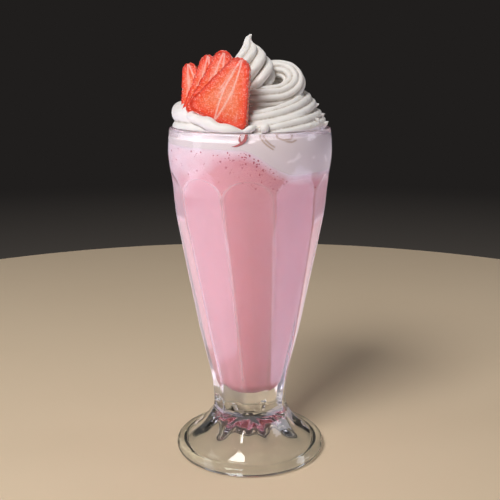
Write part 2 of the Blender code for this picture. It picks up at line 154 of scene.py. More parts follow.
# Piped cream. A rope's points are x, y, z and the radius of the rope.
STAR_POINTS, STAR_ROUNDNESS = 144, 0.62
COIL_STAR = (9, 0.73)  # lobes, and the radius of the valleys between them
DROP_STAR = (7, 0.64)
BASE_COIL = (
    (-0.006, -0.0330, 0.1820, 0.0045),
    (0.008, -0.0335, 0.1840, 0.0060),
    (0.021, -0.0280, 0.1858, 0.0074),
    (0.0288, -0.0190, 0.1872, 0.0078),
    (0.0324, -0.0060, 0.1878, 0.0078),
    (0.0324, 0.0090, 0.1880, 0.0078),
    (0.0262, 0.0225, 0.1882, 0.0078),
    (0.0130, 0.0325, 0.1880, 0.0076),
    (-0.0040, 0.0350, 0.1876, 0.0074),
    (-0.0180, 0.0300, 0.1878, 0.0072),
    (-0.0270, 0.0225, 0.1886, 0.0060),
    (-0.0315, 0.0130, 0.1896, 0.0035),
)
LOW_COIL = (
    (-0.022, -0.010, 0.1870, 0.0070),
    (-0.010, -0.022, 0.1870, 0.0072),
    (0.004, -0.027, 0.1882, 0.0074),
    (0.018, -0.023, 0.1910, 0.0076),
    (0.0262, -0.013, 0.1942, 0.0078),
    (0.0288, 0.001, 0.1960, 0.0074),
    (0.025, 0.016, 0.1975, 0.0074),
    (0.011, 0.025, 0.1985, 0.0074),
    (-0.006, 0.024, 0.1990, 0.0074),
    (-0.017, 0.012, 0.1995, 0.0072),
    (-0.018, -0.002, 0.1995, 0.0070),
)
TOP_COIL = (
    (-0.014, 0.010, 0.2000, 0.0060),
    (-0.015, -0.003, 0.2005, 0.0064),
    (-0.006, -0.012, 0.2005, 0.0066),
    (0.007, -0.0130, 0.2006, 0.0064),
    (0.0175, -0.0100, 0.2016, 0.0064),
    (0.0240, -0.0045, 0.2068, 0.0062),
    (0.0216, 0.001, 0.2128, 0.0060),
    (0.0130, 0.003, 0.2150, 0.0056),
    (0.0040, 0.003, 0.2130, 0.0050),
)
# The last drop stands on the coils: x, y, z, radius and how far its ridges have turned.
DROP = (
    (0.0020, -0.0060, 0.2005, 0.0058, 0),
    (0.0018, -0.0060, 0.2045, 0.0096, 26),
    (0.0015, -0.0055, 0.2090, 0.0118, 54),
    (0.0012, -0.0048, 0.2135, 0.0123, 82),
    (0.0008, -0.0040, 0.2175, 0.0112, 108),
    (0.0004, -0.0030, 0.2210, 0.0092, 132),
    (0.0000, -0.0020, 0.2240, 0.0066, 152),
    (-0.0006, -0.0012, 0.2268, 0.0041, 170),
    (-0.0010, -0.0006, 0.2293, 0.0024, 186),
    (-0.0006, -0.0002, 0.2314, 0.0014, 200),
    (0.0010, 0.0000, 0.2331, 0.0004, 212),
)
# Along the left of the rim lies a plain fold of cream with a lower one under it.
FOLD = (
    (-0.0060, -0.0280, 0.1850, 0.0030),
    (-0.0140, -0.0290, 0.1880, 0.0042),
    (-0.0245, -0.0245, 0.1908, 0.0050),
    (-0.0325, -0.0150, 0.1924, 0.0057),
    (-0.0368, 0.0000, 0.1928, 0.0062),
    (-0.0330, 0.0150, 0.1914, 0.0062),
    (-0.0230, 0.0275, 0.1892, 0.0060),
    (-0.0080, 0.0330, 0.1866, 0.0050),
)
LOW_FOLD = (
    (-0.0340, 0.0160, 0.1850, 0.0028),
    (-0.0390, 0.0020, 0.1852, 0.0036),
    (-0.0356, -0.0150, 0.1854, 0.0038),
    (-0.0270, -0.0262, 0.1854, 0.0038),
    (-0.0150, -0.0336, 0.1854, 0.0036),
    (-0.0030, -0.0360, 0.1852, 0.0028),
)
# Loose cream laps over the foot of the slices, and two small lumps lie beside them on the rim.
LAP = (
    (-0.0305, -0.0225, 0.1925, 0.0022),
    (-0.0276, -0.0270, 0.1922, 0.0034),
    (-0.0240, -0.0310, 0.1905, 0.0024),
    (-0.0205, -0.0338, 0.1896, 0.0036),
    (-0.0165, -0.0362, 0.1876, 0.0022),
    (-0.0120, -0.0374, 0.1870, 0.0030),
    (-0.0070, -0.0384, 0.1862, 0.0019),
    (-0.0030, -0.0388, 0.1858, 0.0006),
)
LUMPS = (
    (
        (-0.0046, -0.0387, 0.1856, 0.0002),
        (-0.0022, -0.0387, 0.1862, 0.0014),
        (0.0004, -0.0388, 0.1874, 0.0019),
        (0.0026, -0.0385, 0.1884, 0.0012),
        (0.0034, -0.0384, 0.1886, 0.0002),
    ),
    (
        (0.0062, -0.0385, 0.1852, 0.0006),
        (0.0066, -0.0386, 0.1864, 0.0021),
        (0.0074, -0.0384, 0.1878, 0.0024),
        (0.0084, -0.0376, 0.1890, 0.0014),
        (0.0088, -0.0370, 0.1894, 0.0002),
    ),
)
# Bits torn up at the right edge, each from its root to its tip.
TEARS = (
    ((0.030, -0.004, 0.1950, 0.0030), (0.0340, -0.0040, 0.1962, 0.0014), (0.0366, -0.0038, 0.1974, 0.0003)),
    ((0.033, -0.007, 0.1900, 0.0030), (0.0374, -0.0074, 0.1912, 0.0014), (0.0398, -0.0072, 0.1926, 0.0003)),
    ((0.035, -0.012, 0.1860, 0.0030), (0.0392, -0.0126, 0.1872, 0.0014), (0.0410, -0.0124, 0.1890, 0.0003)),
    ((0.031, -0.019, 0.1880, 0.0026), (0.0340, -0.0210, 0.1894, 0.0012), (0.0352, -0.0214, 0.1910, 0.0003)),
    ((0.027, -0.026, 0.1866, 0.0026), (0.0296, -0.0282, 0.1876, 0.0012), (0.0306, -0.0284, 0.1890, 0.0003)),
)
# Cream closes the hollow of the curl from behind.
BACKING = (
    (0.0040, 0.0090, 0.2060, 0.0076),
    (0.0110, 0.0076, 0.2085, 0.0080),
    (0.0180, 0.0072, 0.2070, 0.0066),
)
# What fills the rim and the middle of the coils: a cone, a drum and a dome.
CORE_BASE, CORE_TOP = 0.1780, 0.2060
CORE_BASE_RADIUS, CORE_TOP_RADIUS = 0.0360, 0.0130
CORE_X, CORE_Y = 0.0030, 0.0030
FILL_BASE, FILL_TOP, FILL_RADIUS = 0.1780, 0.1836, 0.0460
DOME_MIDDLE, DOME_RISE = 0.1764, 0.0156
FILL_SIDES, DOME_RINGS = 96, 48
CREAM_LIMIT_RADIUS = 0.0438
RIM_CLEARANCE = 0.0004
CREAM_FACES = 190000
SMOOTHING, SMOOTHING_ROUNDS = 0.5, 2
# Inside the glass the piped cream stops here, and cream pressed on the wall goes on down.
PIPED_BASE, PIPED_CLEARANCE = 0.1800, 0.0016
CREAM_COLUMNS, CREAM_ROWS, CREAM_RINGS = 300, 64, 24
CREAM_DRUM = 0.0400  # radius of the drum that the pressed cream is made from
AT_WALL = 0.98  # the share of that radius past which a point lies at the wall
LEVEL_OVERLAP = 0.0020
# It laps over the drink's edge by this much and this far out, and below that it is tucked in.
CREAM_LAP, CREAM_OVER_DRINK, CREAM_TUCK = 0.0006, 0.00003, 0.0006
# It stops this far under the top of the wall, and its edge there is rounded.
CREAM_UNDER_RIM = 0.0002
EDGE_ROUND, EDGE_HEIGHT = 0.0012, 0.0016
OFF_GLASS = 0.0004  # this far from the glass it no longer gets the greyer tone of cream pressed on the glass
# How far the cream's surface wanders, plain and at the torn right edge.
WANDER, WANDER_SIZE = 0.00022, 0.0045
ROUGH, ROUGH_SIZE, ROUGH_STRETCH = 0.00055, 0.0013, (0.6, 1.0, 1.6)
ROUGH_FROM, ROUGH_LOW, ROUGH_HIGH = 0.0290, 0.1860, 0.1950
ROUGH_FROM_BLEND, ROUGH_LOW_BLEND, ROUGH_HIGH_BLEND = 0.006, 0.002, 0.003
# In the grooves between ridges the cream is painted warmer and darker, as painted shade. The reach is in
# points of the mesh.
GROOVE_REACH, GROOVE_DEPTH, GROOVE_SHADE = 3, 0.00009, 0.75
# Creases in the cream on the front wall, as x and height. They are dented and painted darker, as painted
# shade.
CREASES = (
    ((0.0050, 0.1842), (0.0054, 0.1826), (0.0066, 0.1808), (0.0086, 0.1790), (0.0112, 0.1772)),
    ((0.0066, 0.1838), (0.0076, 0.1818), (0.0096, 0.1798), (0.0116, 0.1784)),
    ((0.0132, 0.1838), (0.0136, 0.1826), (0.0160, 0.1816), (0.0196, 0.1818), (0.0214, 0.1834)),
    ((0.0176, 0.1808), (0.0204, 0.1804), (0.0222, 0.1812)),
)
CREASE_WIDTH, CREASE_DEPTH = 0.00038, 0.0002
# Painted highlights: white streaks where light glints on the cream pressed on the glass, as x and height.
HIGHLIGHT_STREAKS = (
    ((0.0184, 0.1706), (0.0200, 0.1714), (0.0208, 0.1708), (0.0222, 0.1722), (0.0238, 0.1746)),
    ((0.0212, 0.1716), (0.0232, 0.1722), (0.0242, 0.1734)),
    ((0.0308, 0.1716), (0.0311, 0.1720)),
    ((0.0366, 0.1716), (0.0371, 0.1690)),
)
HIGHLIGHT_STREAK_WIDTH = 0.00045
# Under the rim, from the front round the left to the back, the cream stands a little clear of the glass.
GAP_START, GAP_BLEND, GAP_DEPTH = 0.1800, 0.0018, 0.0014
GAP_END, GAP_FADE = 0.004, 0.006  # at the front it ends at this x, and closes over this width
GAP_WAVES, GAP_WAVE_SIZE, GAP_WAVE_RISE = 0.6, 0.3, 0.01

# Four slices cut lengthwise stand in a fan, one behind another.
FAN_FOOT = Vector((-0.0139, -0.0330, 0.1907))
FAN_YAW, FAN_TILT = math.radians(14.5), math.radians(13.5)
# Each slice: tip to the right and up from the fan's foot, depth, lean, length, width, thickness.
SLICES = (
    (0.0092, 0.0310, 0.0000, 22, 0.0340, 0.0315, 0.0042),
    (-0.0016, 0.0359, 0.0046, 12, 0.0350, 0.0250, 0.0036),
    (-0.0114, 0.0349, 0.0092, 4, 0.0330, 0.0215, 0.0036),
    (-0.0238, 0.0317, 0.0138, -15, 0.0290, 0.0190, 0.0036),
)
SLICE_COLUMNS = 320
SLICE_CHAMFER = 0.0005
CORNER_SHARE, TIP_SHARE = 0.14, 0.20
SLICE_MIDDLE = 0.42  # the share of its length, from the cut top, that its rings shrink to
FACE_RINGS, WALL_RINGS, BACK_RINGS = 30, 4, 12
BEND_INSET, BEND_TURNS = 0.016, (0.0, 0.5, 1.0, 1.57)
OUTLINE_DETAIL = 4  # the outline is worked out with this many times its points
# Relief of the cut faces: how deep they lie, how much that varies, and the scale of the noise.
FACE_SINK, FACE_RELIEF, FACE_SHARE = 0.00012, 0.00010, 0.99
RELIEF_SCALE, RELIEF_STEP = (900, 500, 300), 7
# Pits for the seeds: how far apart, how wide, and how far each may stray from its place.
PIT_SPACING = 0.0024
PIT_WIDTH, PIT_ACROSS = 0.00070, 0.0017
PIT_SEED, PIT_STRAY, PIT_OFF_MIDDLE, PIT_DEEP = 100, 0.16, 0.0009, (0.7, 1.15)
PIT_TONE = 0.05
# Pits start a little below the cut top and lie in the skin, as shares of length and of outline.
PIT_FROM, PIT_FROM_BLEND = 0.03, 0.05
PIT_SKIN, PIT_SKIN_BLEND = 0.90, 0.08
SKIN_SHARE = 0.93  # the share of the outline past which a face is skin
SEED_FROM, SEED_SINK = 0.055, 0.00008
SEED_TAPER, SEED_SIZE = 0.35, (0.00065, 0.00038, 0.00026)
CORE_WIDTH, VEIN_WIDTH = 0.0021, 0.0008

# Strands of the curl of pulp on the wall, under the first slice: x, height and radius.
JUICE_STRANDS = (
    (
        (-0.0016, 0.1846, 0.0007),
        (-0.0019, 0.1826, 0.0009),
        (-0.0032, 0.1808, 0.0008),
        (-0.0056, 0.1793, 0.0006),
        (-0.0078, 0.1787, 0.0003),
        (-0.0088, 0.1789, 0.0001),
    ),
    (
        (-0.0046, 0.1838, 0.0002),
        (-0.0052, 0.1822, 0.0006),
        (-0.0046, 0.1808, 0.0005),
        (-0.0036, 0.1800, 0.0002),
    ),
)
JUICE_REACH, JUICE_VOXEL = 0.0001, 0.00012

# Shares that the materials mix their patterns by.
RIPPLE_SHARE = 0.06  # chill ripples beside the slow waves of the glass
FOOT_WAVES = 3.2  # how much deeper those waves are in the foot
# The grain share also sets how strong the painted wet glints are.
FINE_VEINS, LONG_VEINS, GRAIN_AND_GLINT_SHARE = 0.6, 0.6, 0.5
PIT_LIGHT = 0.4

# The lamps: name, setting of the power, place, target, size and colour.
MIDDLE = (0, 0, 0.14)
LAMPS = (
    ("soft_front", "key", (-0.34, -0.58, 0.88), MIDDLE, (0.40, 0.34), "FFFDFC"),
    ("window_left", "fill", (-0.78, -0.20, 0.42), MIDDLE, (0.22, 0.64), "EEF2FF"),
    ("window_right", "rim", (0.80, 0.04, 0.34), (0, 0, 0.10), (0.24, 0.22), "F2F3FF"),
    ("ceiling_panel", "top", (0.16, 0.26, 0.90), MIDDLE, (0.26, 0.26), "FFF8F0"),
)
# Low boxes on the table shine straight up and throw the pale sheen that lies on the glass's sides:
# name, place, share of the low light's power, size and colour. Only the first lights matt surfaces,
# so that the cream keeps its shade on the right.
LOW_BOXES = (
    ("low_left", (-0.30, -0.085, 0.005), 1.0, (0.46, 0.27), "E0DEFE"),
    ("back_left", (-0.17, 0.27, 0.005), 0.32, (0.26, 0.38), "E8D8E6"),
    ("low_right", (0.30, -0.085, 0.005), 1.3, (0.46, 0.27), "E0DEFE"),
    ("back_right", (0.17, 0.27, 0.005), 0.32, (0.26, 0.38), "E8D8E6"),
)
# The room round the stage: tones from straight down at 0 to straight up at 1, and its pale sides.
ROOM_TONES = ((0.30, "5E5852"), (0.42, "201E1D"), (0.58, "201E1D"), (0.85, "5C5A5A"))
ROOM_SIDES, SIDES_FROM, SIDES_FULL, SIDES_DROP = "C9C2CC", 0.31, 0.38, -0.12

# The camera: how far it is from the axis, its height, how far it looks down and its lens.
CAMERA_BACK, CAMERA_HEIGHT = 0.44809, 0.22497
CAMERA_DOWN = math.radians(13.57)
CAMERA_LENS, SENSOR = 59.65, 36.0


def linear(code):
    """A colour written as an sRGB hex value, as linear red, green and blue."""
    parts = [int(code[k:k + 2], 16) / 255 for k in (0, 2, 4)]
    return tuple(p / 12.92 if p <= 0.04045 else ((p + 0.055) / 1.055) ** 2.4 for p in parts)


def slopes(points):
    """Slopes of a smooth curve through the points that never overshoots them."""
    steps = [(b[1] - a[1]) / (b[0] - a[0]) for a, b in zip(points, points[1:])]
    inner = [2 * a * b / (a + b) if a * b > 0 else 0.0 for a, b in zip(steps, steps[1:])]
    return [steps[0], *inner, steps[-1]]


def curve_value(points, x):
    """The height at x of the smooth curve through points whose x rises."""
    x = min(max(x, points[0][0]), points[-1][0])
    tangents = slopes(points)
    for index, (low, high) in enumerate(zip(points, points[1:])):
        if x <= high[0]:
            break
    width = high[0] - low[0]
    t = (x - low[0]) / width
    return (
        (1 + 2 * t) * (1 - t) ** 2 * low[1]
        + t * (1 - t) ** 2 * width * tangents[index]
        + t * t * (3 - 2 * t) * high[1]
        + t * t * (t - 1) * width * tangents[index + 1]
    )


def ease(t):
    """0 below 0, 1 above 1 and smooth between."""
    t = np.clip(t, 0.0, 1.0)
    return t * t * (3 - 2 * t)


def smooth_min(a, b, width):
    """The lesser of two values, with a rounded change from one to the other."""
    near = np.clip(width - np.abs(a - b), 0.0, None) / width
    return np.minimum(a, b) - near * near * width / 4


def radius_table(points):
    """The smooth curve through the points as a function of an array of heights."""
    rows = np.linspace(points[0][0], points[-1][0], CURVE_SAMPLES)
    radii = np.array([curve_value(points, z) for z in rows])
    return lambda z: np.interp(z, rows, radii)


outer_radius = radius_table(OUTER)
inner_radius = radius_table(INNER)


def surface_height(x):
    """The height of the drink's surface at x."""
    return LEVEL_HIGH - (LEVEL_HIGH - LEVEL_LOW) * ease((x - LEVEL_FALL_START) / LEVEL_FALL_WIDTH)


def arc(radius, z, size, start, end, count):
    """Points of an arc round (radius, z), from one angle in degrees to another."""
    angles = [math.radians(start + (end - start) * k / (count - 1)) for k in range(count)]
    return [(radius + size * math.cos(a), z + size * math.sin(a)) for a in angles]


def heights(low, high, step):
    """Even heights from low up to but not including high, about a step apart."""
    count = max(1, round((high - low) / step))
    return [low + (high - low) * k / count for k in range(count)]


def deselect():
    """Deselect every object, so that an operator acts only on what is picked next."""
    bpy.ops.object.select_all(action="DESELECT")


def pick(thing):
    """Select one object alone and make it active."""
    deselect()
    thing.select_set(True)
    bpy.context.view_layer.objects.active = thing


def edit(thing):
    """Open an object in edit mode with all of it selected."""
    pick(thing)
    bpy.ops.object.mode_set(mode="EDIT")
    bpy.ops.mesh.select_all(action="SELECT")


def finish_edit():
    """Close edit mode."""
    bpy.ops.object.mode_set(mode="OBJECT")


def settle(thing):
    """Put an object's place into its mesh, so that the object is at the origin, unturned and unscaled."""
    pick(thing)
    bpy.ops.object.transform_apply(location=True, rotation=True, scale=True)


def join(name, things):
    """Join objects into one."""
    deselect()
    for thing in things:
        thing.select_set(True)
    bpy.context.view_layer.objects.active = things[0]
    bpy.ops.object.join()
    joined = bpy.context.object
    joined.name = name
    joined.data.name = name
    return joined


def apply_modifier(thing, kind, **settings):
    """Add a modifier with its settings and apply it."""
    pick(thing)
    modifier = thing.modifiers.new(kind.lower(), kind)
    for key, value in settings.items():
        setattr(modifier, key, value)
    bpy.ops.object.modifier_apply(modifier=modifier.name)


def points_of(mesh):
    """A mesh's points as an array with a row for each."""
    values = np.empty(len(mesh.vertices) * 3)
    mesh.vertices.foreach_get("co", values)
    return values.reshape(-1, 3)


def set_points(mesh, points):
    """Move a mesh's points to the rows of an array."""
    mesh.vertices.foreach_set("co", points.astype(np.float32).ravel())
    mesh.update()


def set_values(mesh, name, values):
    """Keep a value at each point of a mesh, for its material."""
    attribute = mesh.attributes.new(name, "FLOAT", "POINT")
    attribute.data.foreach_set("value", np.asarray(values, dtype=np.float32))


def turned(name, outline, columns):
    """Extrude a point along an outline of (radius, height) and spin the outline round Z."""
    deselect()
    bpy.ops.mesh.primitive_plane_add(size=TINY)
    thing = bpy.context.object
    thing.name = name
    thing.data.name = name
    edit(thing)
    bpy.ops.mesh.merge(type="CENTER")
    bpy.ops.transform.translate(value=(outline[0][0], 0, outline[0][1]))
    for (r0, z0), (r1, z1) in zip(outline, outline[1:]):
        bpy.ops.mesh.extrude_vertices_move(TRANSFORM_OT_translate={"value": (r1 - r0, 0, z1 - z0)})
    bpy.ops.mesh.select_all(action="SELECT")
    bpy.ops.mesh.spin(steps=columns, angle=2 * math.pi, center=(0, 0, 0), axis=(0, 0, 1))
    bpy.ops.mesh.select_all(action="SELECT")
    bpy.ops.mesh.remove_doubles(threshold=2 * TINY)
    bpy.ops.mesh.normals_make_consistent(inside=False)
    finish_edit()
    bpy.ops.object.shade_smooth()
    return thing


def rope(name, points, section=None, turns=None):
    """A rope through points of x, y, z and radius, round or with a piped section, as a mesh."""
    deselect()
    bpy.ops.curve.primitive_nurbs_path_add()
    thing = bpy.context.object
    thing.name = name
    curve = thing.data
    curve.use_fill_caps = True
    curve.resolution_u = 10
    if section:
        curve.bevel_mode = "OBJECT"
        curve.bevel_object = section
    else:
        curve.bevel_depth = 1.0
        curve.bevel_resolution = 8
    curve.splines.clear()
    spline = curve.splines.new("NURBS")
    spline.points.add(len(points) - 1)
    spline.order_u = 3
    spline.use_endpoint_u = True
    for k, (point, (x, y, z, radius)) in enumerate(zip(spline.points, points)):
        point.co = (x, y, z, 1)
        point.radius = radius
        point.tilt = math.radians(turns[k]) if turns else 0.0
    bpy.ops.object.convert(target="MESH")
    return bpy.context.object


def node(tree, kind, inputs=None, ramp=None, **settings):
    """Add a node. Inputs maps sockets to values or to sockets that feed them; ramp lists its stops."""
    new = tree.nodes.new(kind)
    for key, value in settings.items():
        setattr(new, key, value)
    for key, value in (inputs or {}).items():
        if isinstance(value, bpy.types.NodeSocket):
            tree.links.new(value, new.inputs[key])
        else:
            new.inputs[key].default_value = value
    if ramp:
        elements = new.color_ramp.elements
        while len(elements) < len(ramp):
            elements.new(0.5)
        for element, (position, colour) in zip(elements, ramp):
            element.position = position
            element.color = (*colour, 1.0)
    return new


def new_material(name):
    """A material with an empty node tree and its output."""
    material = bpy.data.materials.new(name)
    material.use_nodes = True
    material.node_tree.nodes.clear()
    output = material.node_tree.nodes.new("ShaderNodeOutputMaterial")
    return material, material.node_tree, output


def rgba(colour):
    """A colour property with full alpha, as a shader socket takes it."""
    return (*colour, 1.0)


def pressed_glass(settings):
    """Soda-lime glass, pressed in a mould and fire polished.

    It gives the eye clear depth, bright window reflections, and the slow waves and faint chill
    ripples of a hand-filled mould.
    """
    material, tree, output = new_material("pressed_soda_lime_glass")
    place = node(tree, "ShaderNodeTexCoord")
    waves = node(tree, "ShaderNodeTexNoise", {
        "Vector": place.outputs["Object"], "Scale": 1 / (14 * MM), "Detail": 1.0})
    patches = node(tree, "ShaderNodeTexNoise", {
        "Vector": place.outputs["Object"], "Scale": 1 / (22 * MM), "Detail": 0.0})
    shown = node(tree, "ShaderNodeMapRange", {
        "Value": patches.outputs["Fac"], "From Min": 0.52, "From Max": 0.66})
    ripples = node(tree, "ShaderNodeTexWave", {
        "Vector": place.outputs["Object"], "Scale": 0.314 / (2.4 * MM), "Distortion": 1.5,
        "Detail": 1.0, "Detail Scale": 1.0}, bands_direction="Z")
    masked = node(tree, "ShaderNodeMath", {
        0: ripples.outputs["Fac"], 1: shown.outputs["Result"]}, operation="MULTIPLY")
    height = node(tree, "ShaderNodeMath", {
        0: masked.outputs[0], 1: RIPPLE_SHARE, 2: waves.outputs["Fac"]}, operation="MULTIPLY_ADD")
    # A cold drink mists the bowl's wall a little. Along the ridges and arch lips and down the middle of the
    # front panel the mist is thicker as painted highlights, and on the left as painted sheen.
    split = node(tree, "ShaderNodeSeparateXYZ", {0: place.outputs["Object"]})
    cold = node(tree, "ShaderNodeMapRange", {
        "Value": split.outputs["Z"], "From Min": MIST_LOW, "From Max": MIST_LOW + MIST_BLEND})
    # The thick foot sinks unevenly as it cools, so that its waves are deeper.
    depth = node(tree, "ShaderNodeMapRange", {
        "Value": cold.outputs["Result"], "To Min": FOOT_WAVES, "To Max": 1.0})
    relief = node(tree, "ShaderNodeMath", {
        0: height.outputs[0], 1: depth.outputs["Result"]}, operation="MULTIPLY")
    bump = node(tree, "ShaderNodeBump", {
        "Strength": 0.35, "Distance": 0.25 * MM, "Height": relief.outputs[0]})
    ridge = node(tree, "ShaderNodeAttribute", attribute_name="ridge")
    seam = node(tree, "ShaderNodeAttribute", attribute_name="seam")
    mist_with_left_sheen = node(tree, "ShaderNodeAttribute", attribute_name="mist")
    mist_and_front_highlight = node(tree, "ShaderNodeMath", {
        0: seam.outputs["Fac"], 1: FRONT_HIGHLIGHT_SHARE, 2: mist_with_left_sheen.outputs["Fac"]}, operation="MULTIPLY_ADD")
    thick = node(tree, "ShaderNodeMath", {
        0: ridge.outputs["Fac"], 1: RIDGE_HIGHLIGHT_SHARE, 2: mist_and_front_highlight.outputs[0]}, operation="MULTIPLY_ADD")
    mist = node(tree, "ShaderNodeMath", {
        0: thick.outputs[0], 1: cold.outputs["Result"]}, operation="MULTIPLY")
    through = node(tree, "ShaderNodeMath", {
        0: mist.outputs[0], 1: -settings.haze, 2: 1.0}, operation="MULTIPLY_ADD")
    misted = node(tree, "ShaderNodeMix", {
        0: cold.outputs["Result"], 6: rgba(settings.colour), 7: rgba(settings.mist_and_highlight_colour)},
        data_type="RGBA")
    polish = node(tree, "ShaderNodeMapRange", {
        "Value": cold.outputs["Result"], "To Min": settings.roughness, "To Max": settings.misted_roughness})
    glass = node(tree, "ShaderNodeBsdfPrincipled", {
        "Base Color": misted.outputs[2], "Roughness": polish.outputs["Result"], "IOR": 1.5,
        "Transmission Weight": through.outputs[0], "Normal": bump.outputs["Normal"]})
    # Lamps shine straight through the wall, as they do through clear glass.
    shade = node(tree, "ShaderNodeMix", {
        0: cold.outputs["Result"], 6: rgba(settings.foot_shadow), 7: rgba(settings.shadow_colour)},
        data_type="RGBA")
    clear = node(tree, "ShaderNodeBsdfTransparent", {"Color": shade.outputs[2]})
    path = node(tree, "ShaderNodeLightPath")
    mixed = node(tree, "ShaderNodeMixShader", {
        0: path.outputs["Is Shadow Ray"], 1: glass.outputs[0], 2: clear.outputs[0]})
    tree.links.new(mixed.outputs[0], output.inputs["Surface"])
    return material


def milk_drink(settings):
    """Strawberry milk, whisked with ice cream: an opaque, soft-edged pink with fine froth at its level."""
    material, tree, output = new_material("whisked_strawberry_milk")
    place = node(tree, "ShaderNodeTexCoord")
    depth = node(tree, "ShaderNodeAttribute", attribute_name="depth")
    cloud = node(tree, "ShaderNodeTexNoise", {
        "Vector": place.outputs["Object"], "Scale": 1 / (9 * MM), "Detail": 3.0})
    wavering = node(tree, "ShaderNodeMath", {
        0: cloud.outputs["Fac"], 1: 5 * MM, 2: depth.outputs["Fac"]}, operation="MULTIPLY_ADD")
    froth = node(tree, "ShaderNodeMapRange", {
        "Value": wavering.outputs[0], "From Min": 2 * MM, "From Max": 8 * MM})
    bubbles = node(tree, "ShaderNodeTexNoise", {
        "Vector": place.outputs["Object"], "Scale": 1 / (1.1 * MM), "Detail": 2.0})
    pink = node(tree, "ShaderNodeMix", {
        0: cloud.outputs["Fac"], 6: rgba(settings.colour), 7: rgba(settings.light_colour)},
        data_type="RGBA")
    level = node(tree, "ShaderNodeMix", {
        0: froth.outputs["Result"], 6: rgba(settings.froth_colour), 7: pink.outputs[2]},
        data_type="RGBA")
    bump = node(tree, "ShaderNodeBump", {
        "Strength": 0.03, "Distance": 0.1 * MM, "Height": bubbles.outputs["Fac"]})
    milk = node(tree, "ShaderNodeBsdfPrincipled", {
        "Base Color": level.outputs[2], "Roughness": 0.32, "IOR": 1.35, "Specular IOR Level": 0.3,
        "Subsurface Weight": 0.6, "Subsurface Radius": (1.0, 0.6, 0.55), "Subsurface Scale": 6 * MM,
        "Normal": bump.outputs["Normal"]})
    tree.links.new(milk.outputs[0], output.inputs["Surface"])
    return material


def whipped_cream(settings):
    """Dairy cream, whipped and piped: soft satin white that glows a little where it is thin."""
    material, tree, output = new_material("piped_dairy_cream")
    place = node(tree, "ShaderNodeTexCoord")
    soft = node(tree, "ShaderNodeTexNoise", {
        "Vector": place.outputs["Object"], "Scale": 1 / (6 * MM), "Detail": 2.0})
    fine = node(tree, "ShaderNodeTexNoise", {
        "Vector": place.outputs["Object"], "Scale": 1 / (0.7 * MM), "Detail": 3.0})
    white = node(tree, "ShaderNodeMix", {
        0: soft.outputs["Fac"], 6: rgba(settings.colour), 7: rgba(settings.shade_colour)},
        data_type="RGBA")
    # Cream pressed on the glass is greyer: partly its own translucent look, partly painted shade.
    wall = node(tree, "ShaderNodeAttribute", attribute_name="wall")
    pressed = node(tree, "ShaderNodeMix", {
        0: wall.outputs["Fac"], 6: white.outputs[2], 7: rgba(settings.wall_tone_and_shade_colour)},
        data_type="RGBA")
    # Painted shade along the creases.
    crease = node(tree, "ShaderNodeAttribute", attribute_name="crease")
    crease_shaded = node(tree, "ShaderNodeMix", {
        0: crease.outputs["Fac"], 6: pressed.outputs[2], 7: rgba(settings.crease_shade_colour)},
        data_type="RGBA")
    # Painted shade deepens the grooves.
    groove = node(tree, "ShaderNodeAttribute", attribute_name="groove")
    groove_shaded = node(tree, "ShaderNodeMix", {
        0: groove.outputs["Fac"], 6: crease_shaded.outputs[2], 7: rgba(settings.groove_shade_colour)},
        data_type="RGBA")
    bump = node(tree, "ShaderNodeBump", {
        "Strength": 0.25, "Distance": 0.08 * MM, "Height": fine.outputs["Fac"]})
    cream = node(tree, "ShaderNodeBsdfPrincipled", {
        "Base Color": groove_shaded.outputs[2], "Roughness": 0.42, "IOR": 1.4,
        "Subsurface Weight": 0.12, "Subsurface Radius": (1.0, 0.8, 0.6), "Subsurface Scale": 1.5 * MM,
        "Normal": bump.outputs["Normal"]})
    tree.links.new(cream.outputs[0], output.inputs["Surface"])
    return material


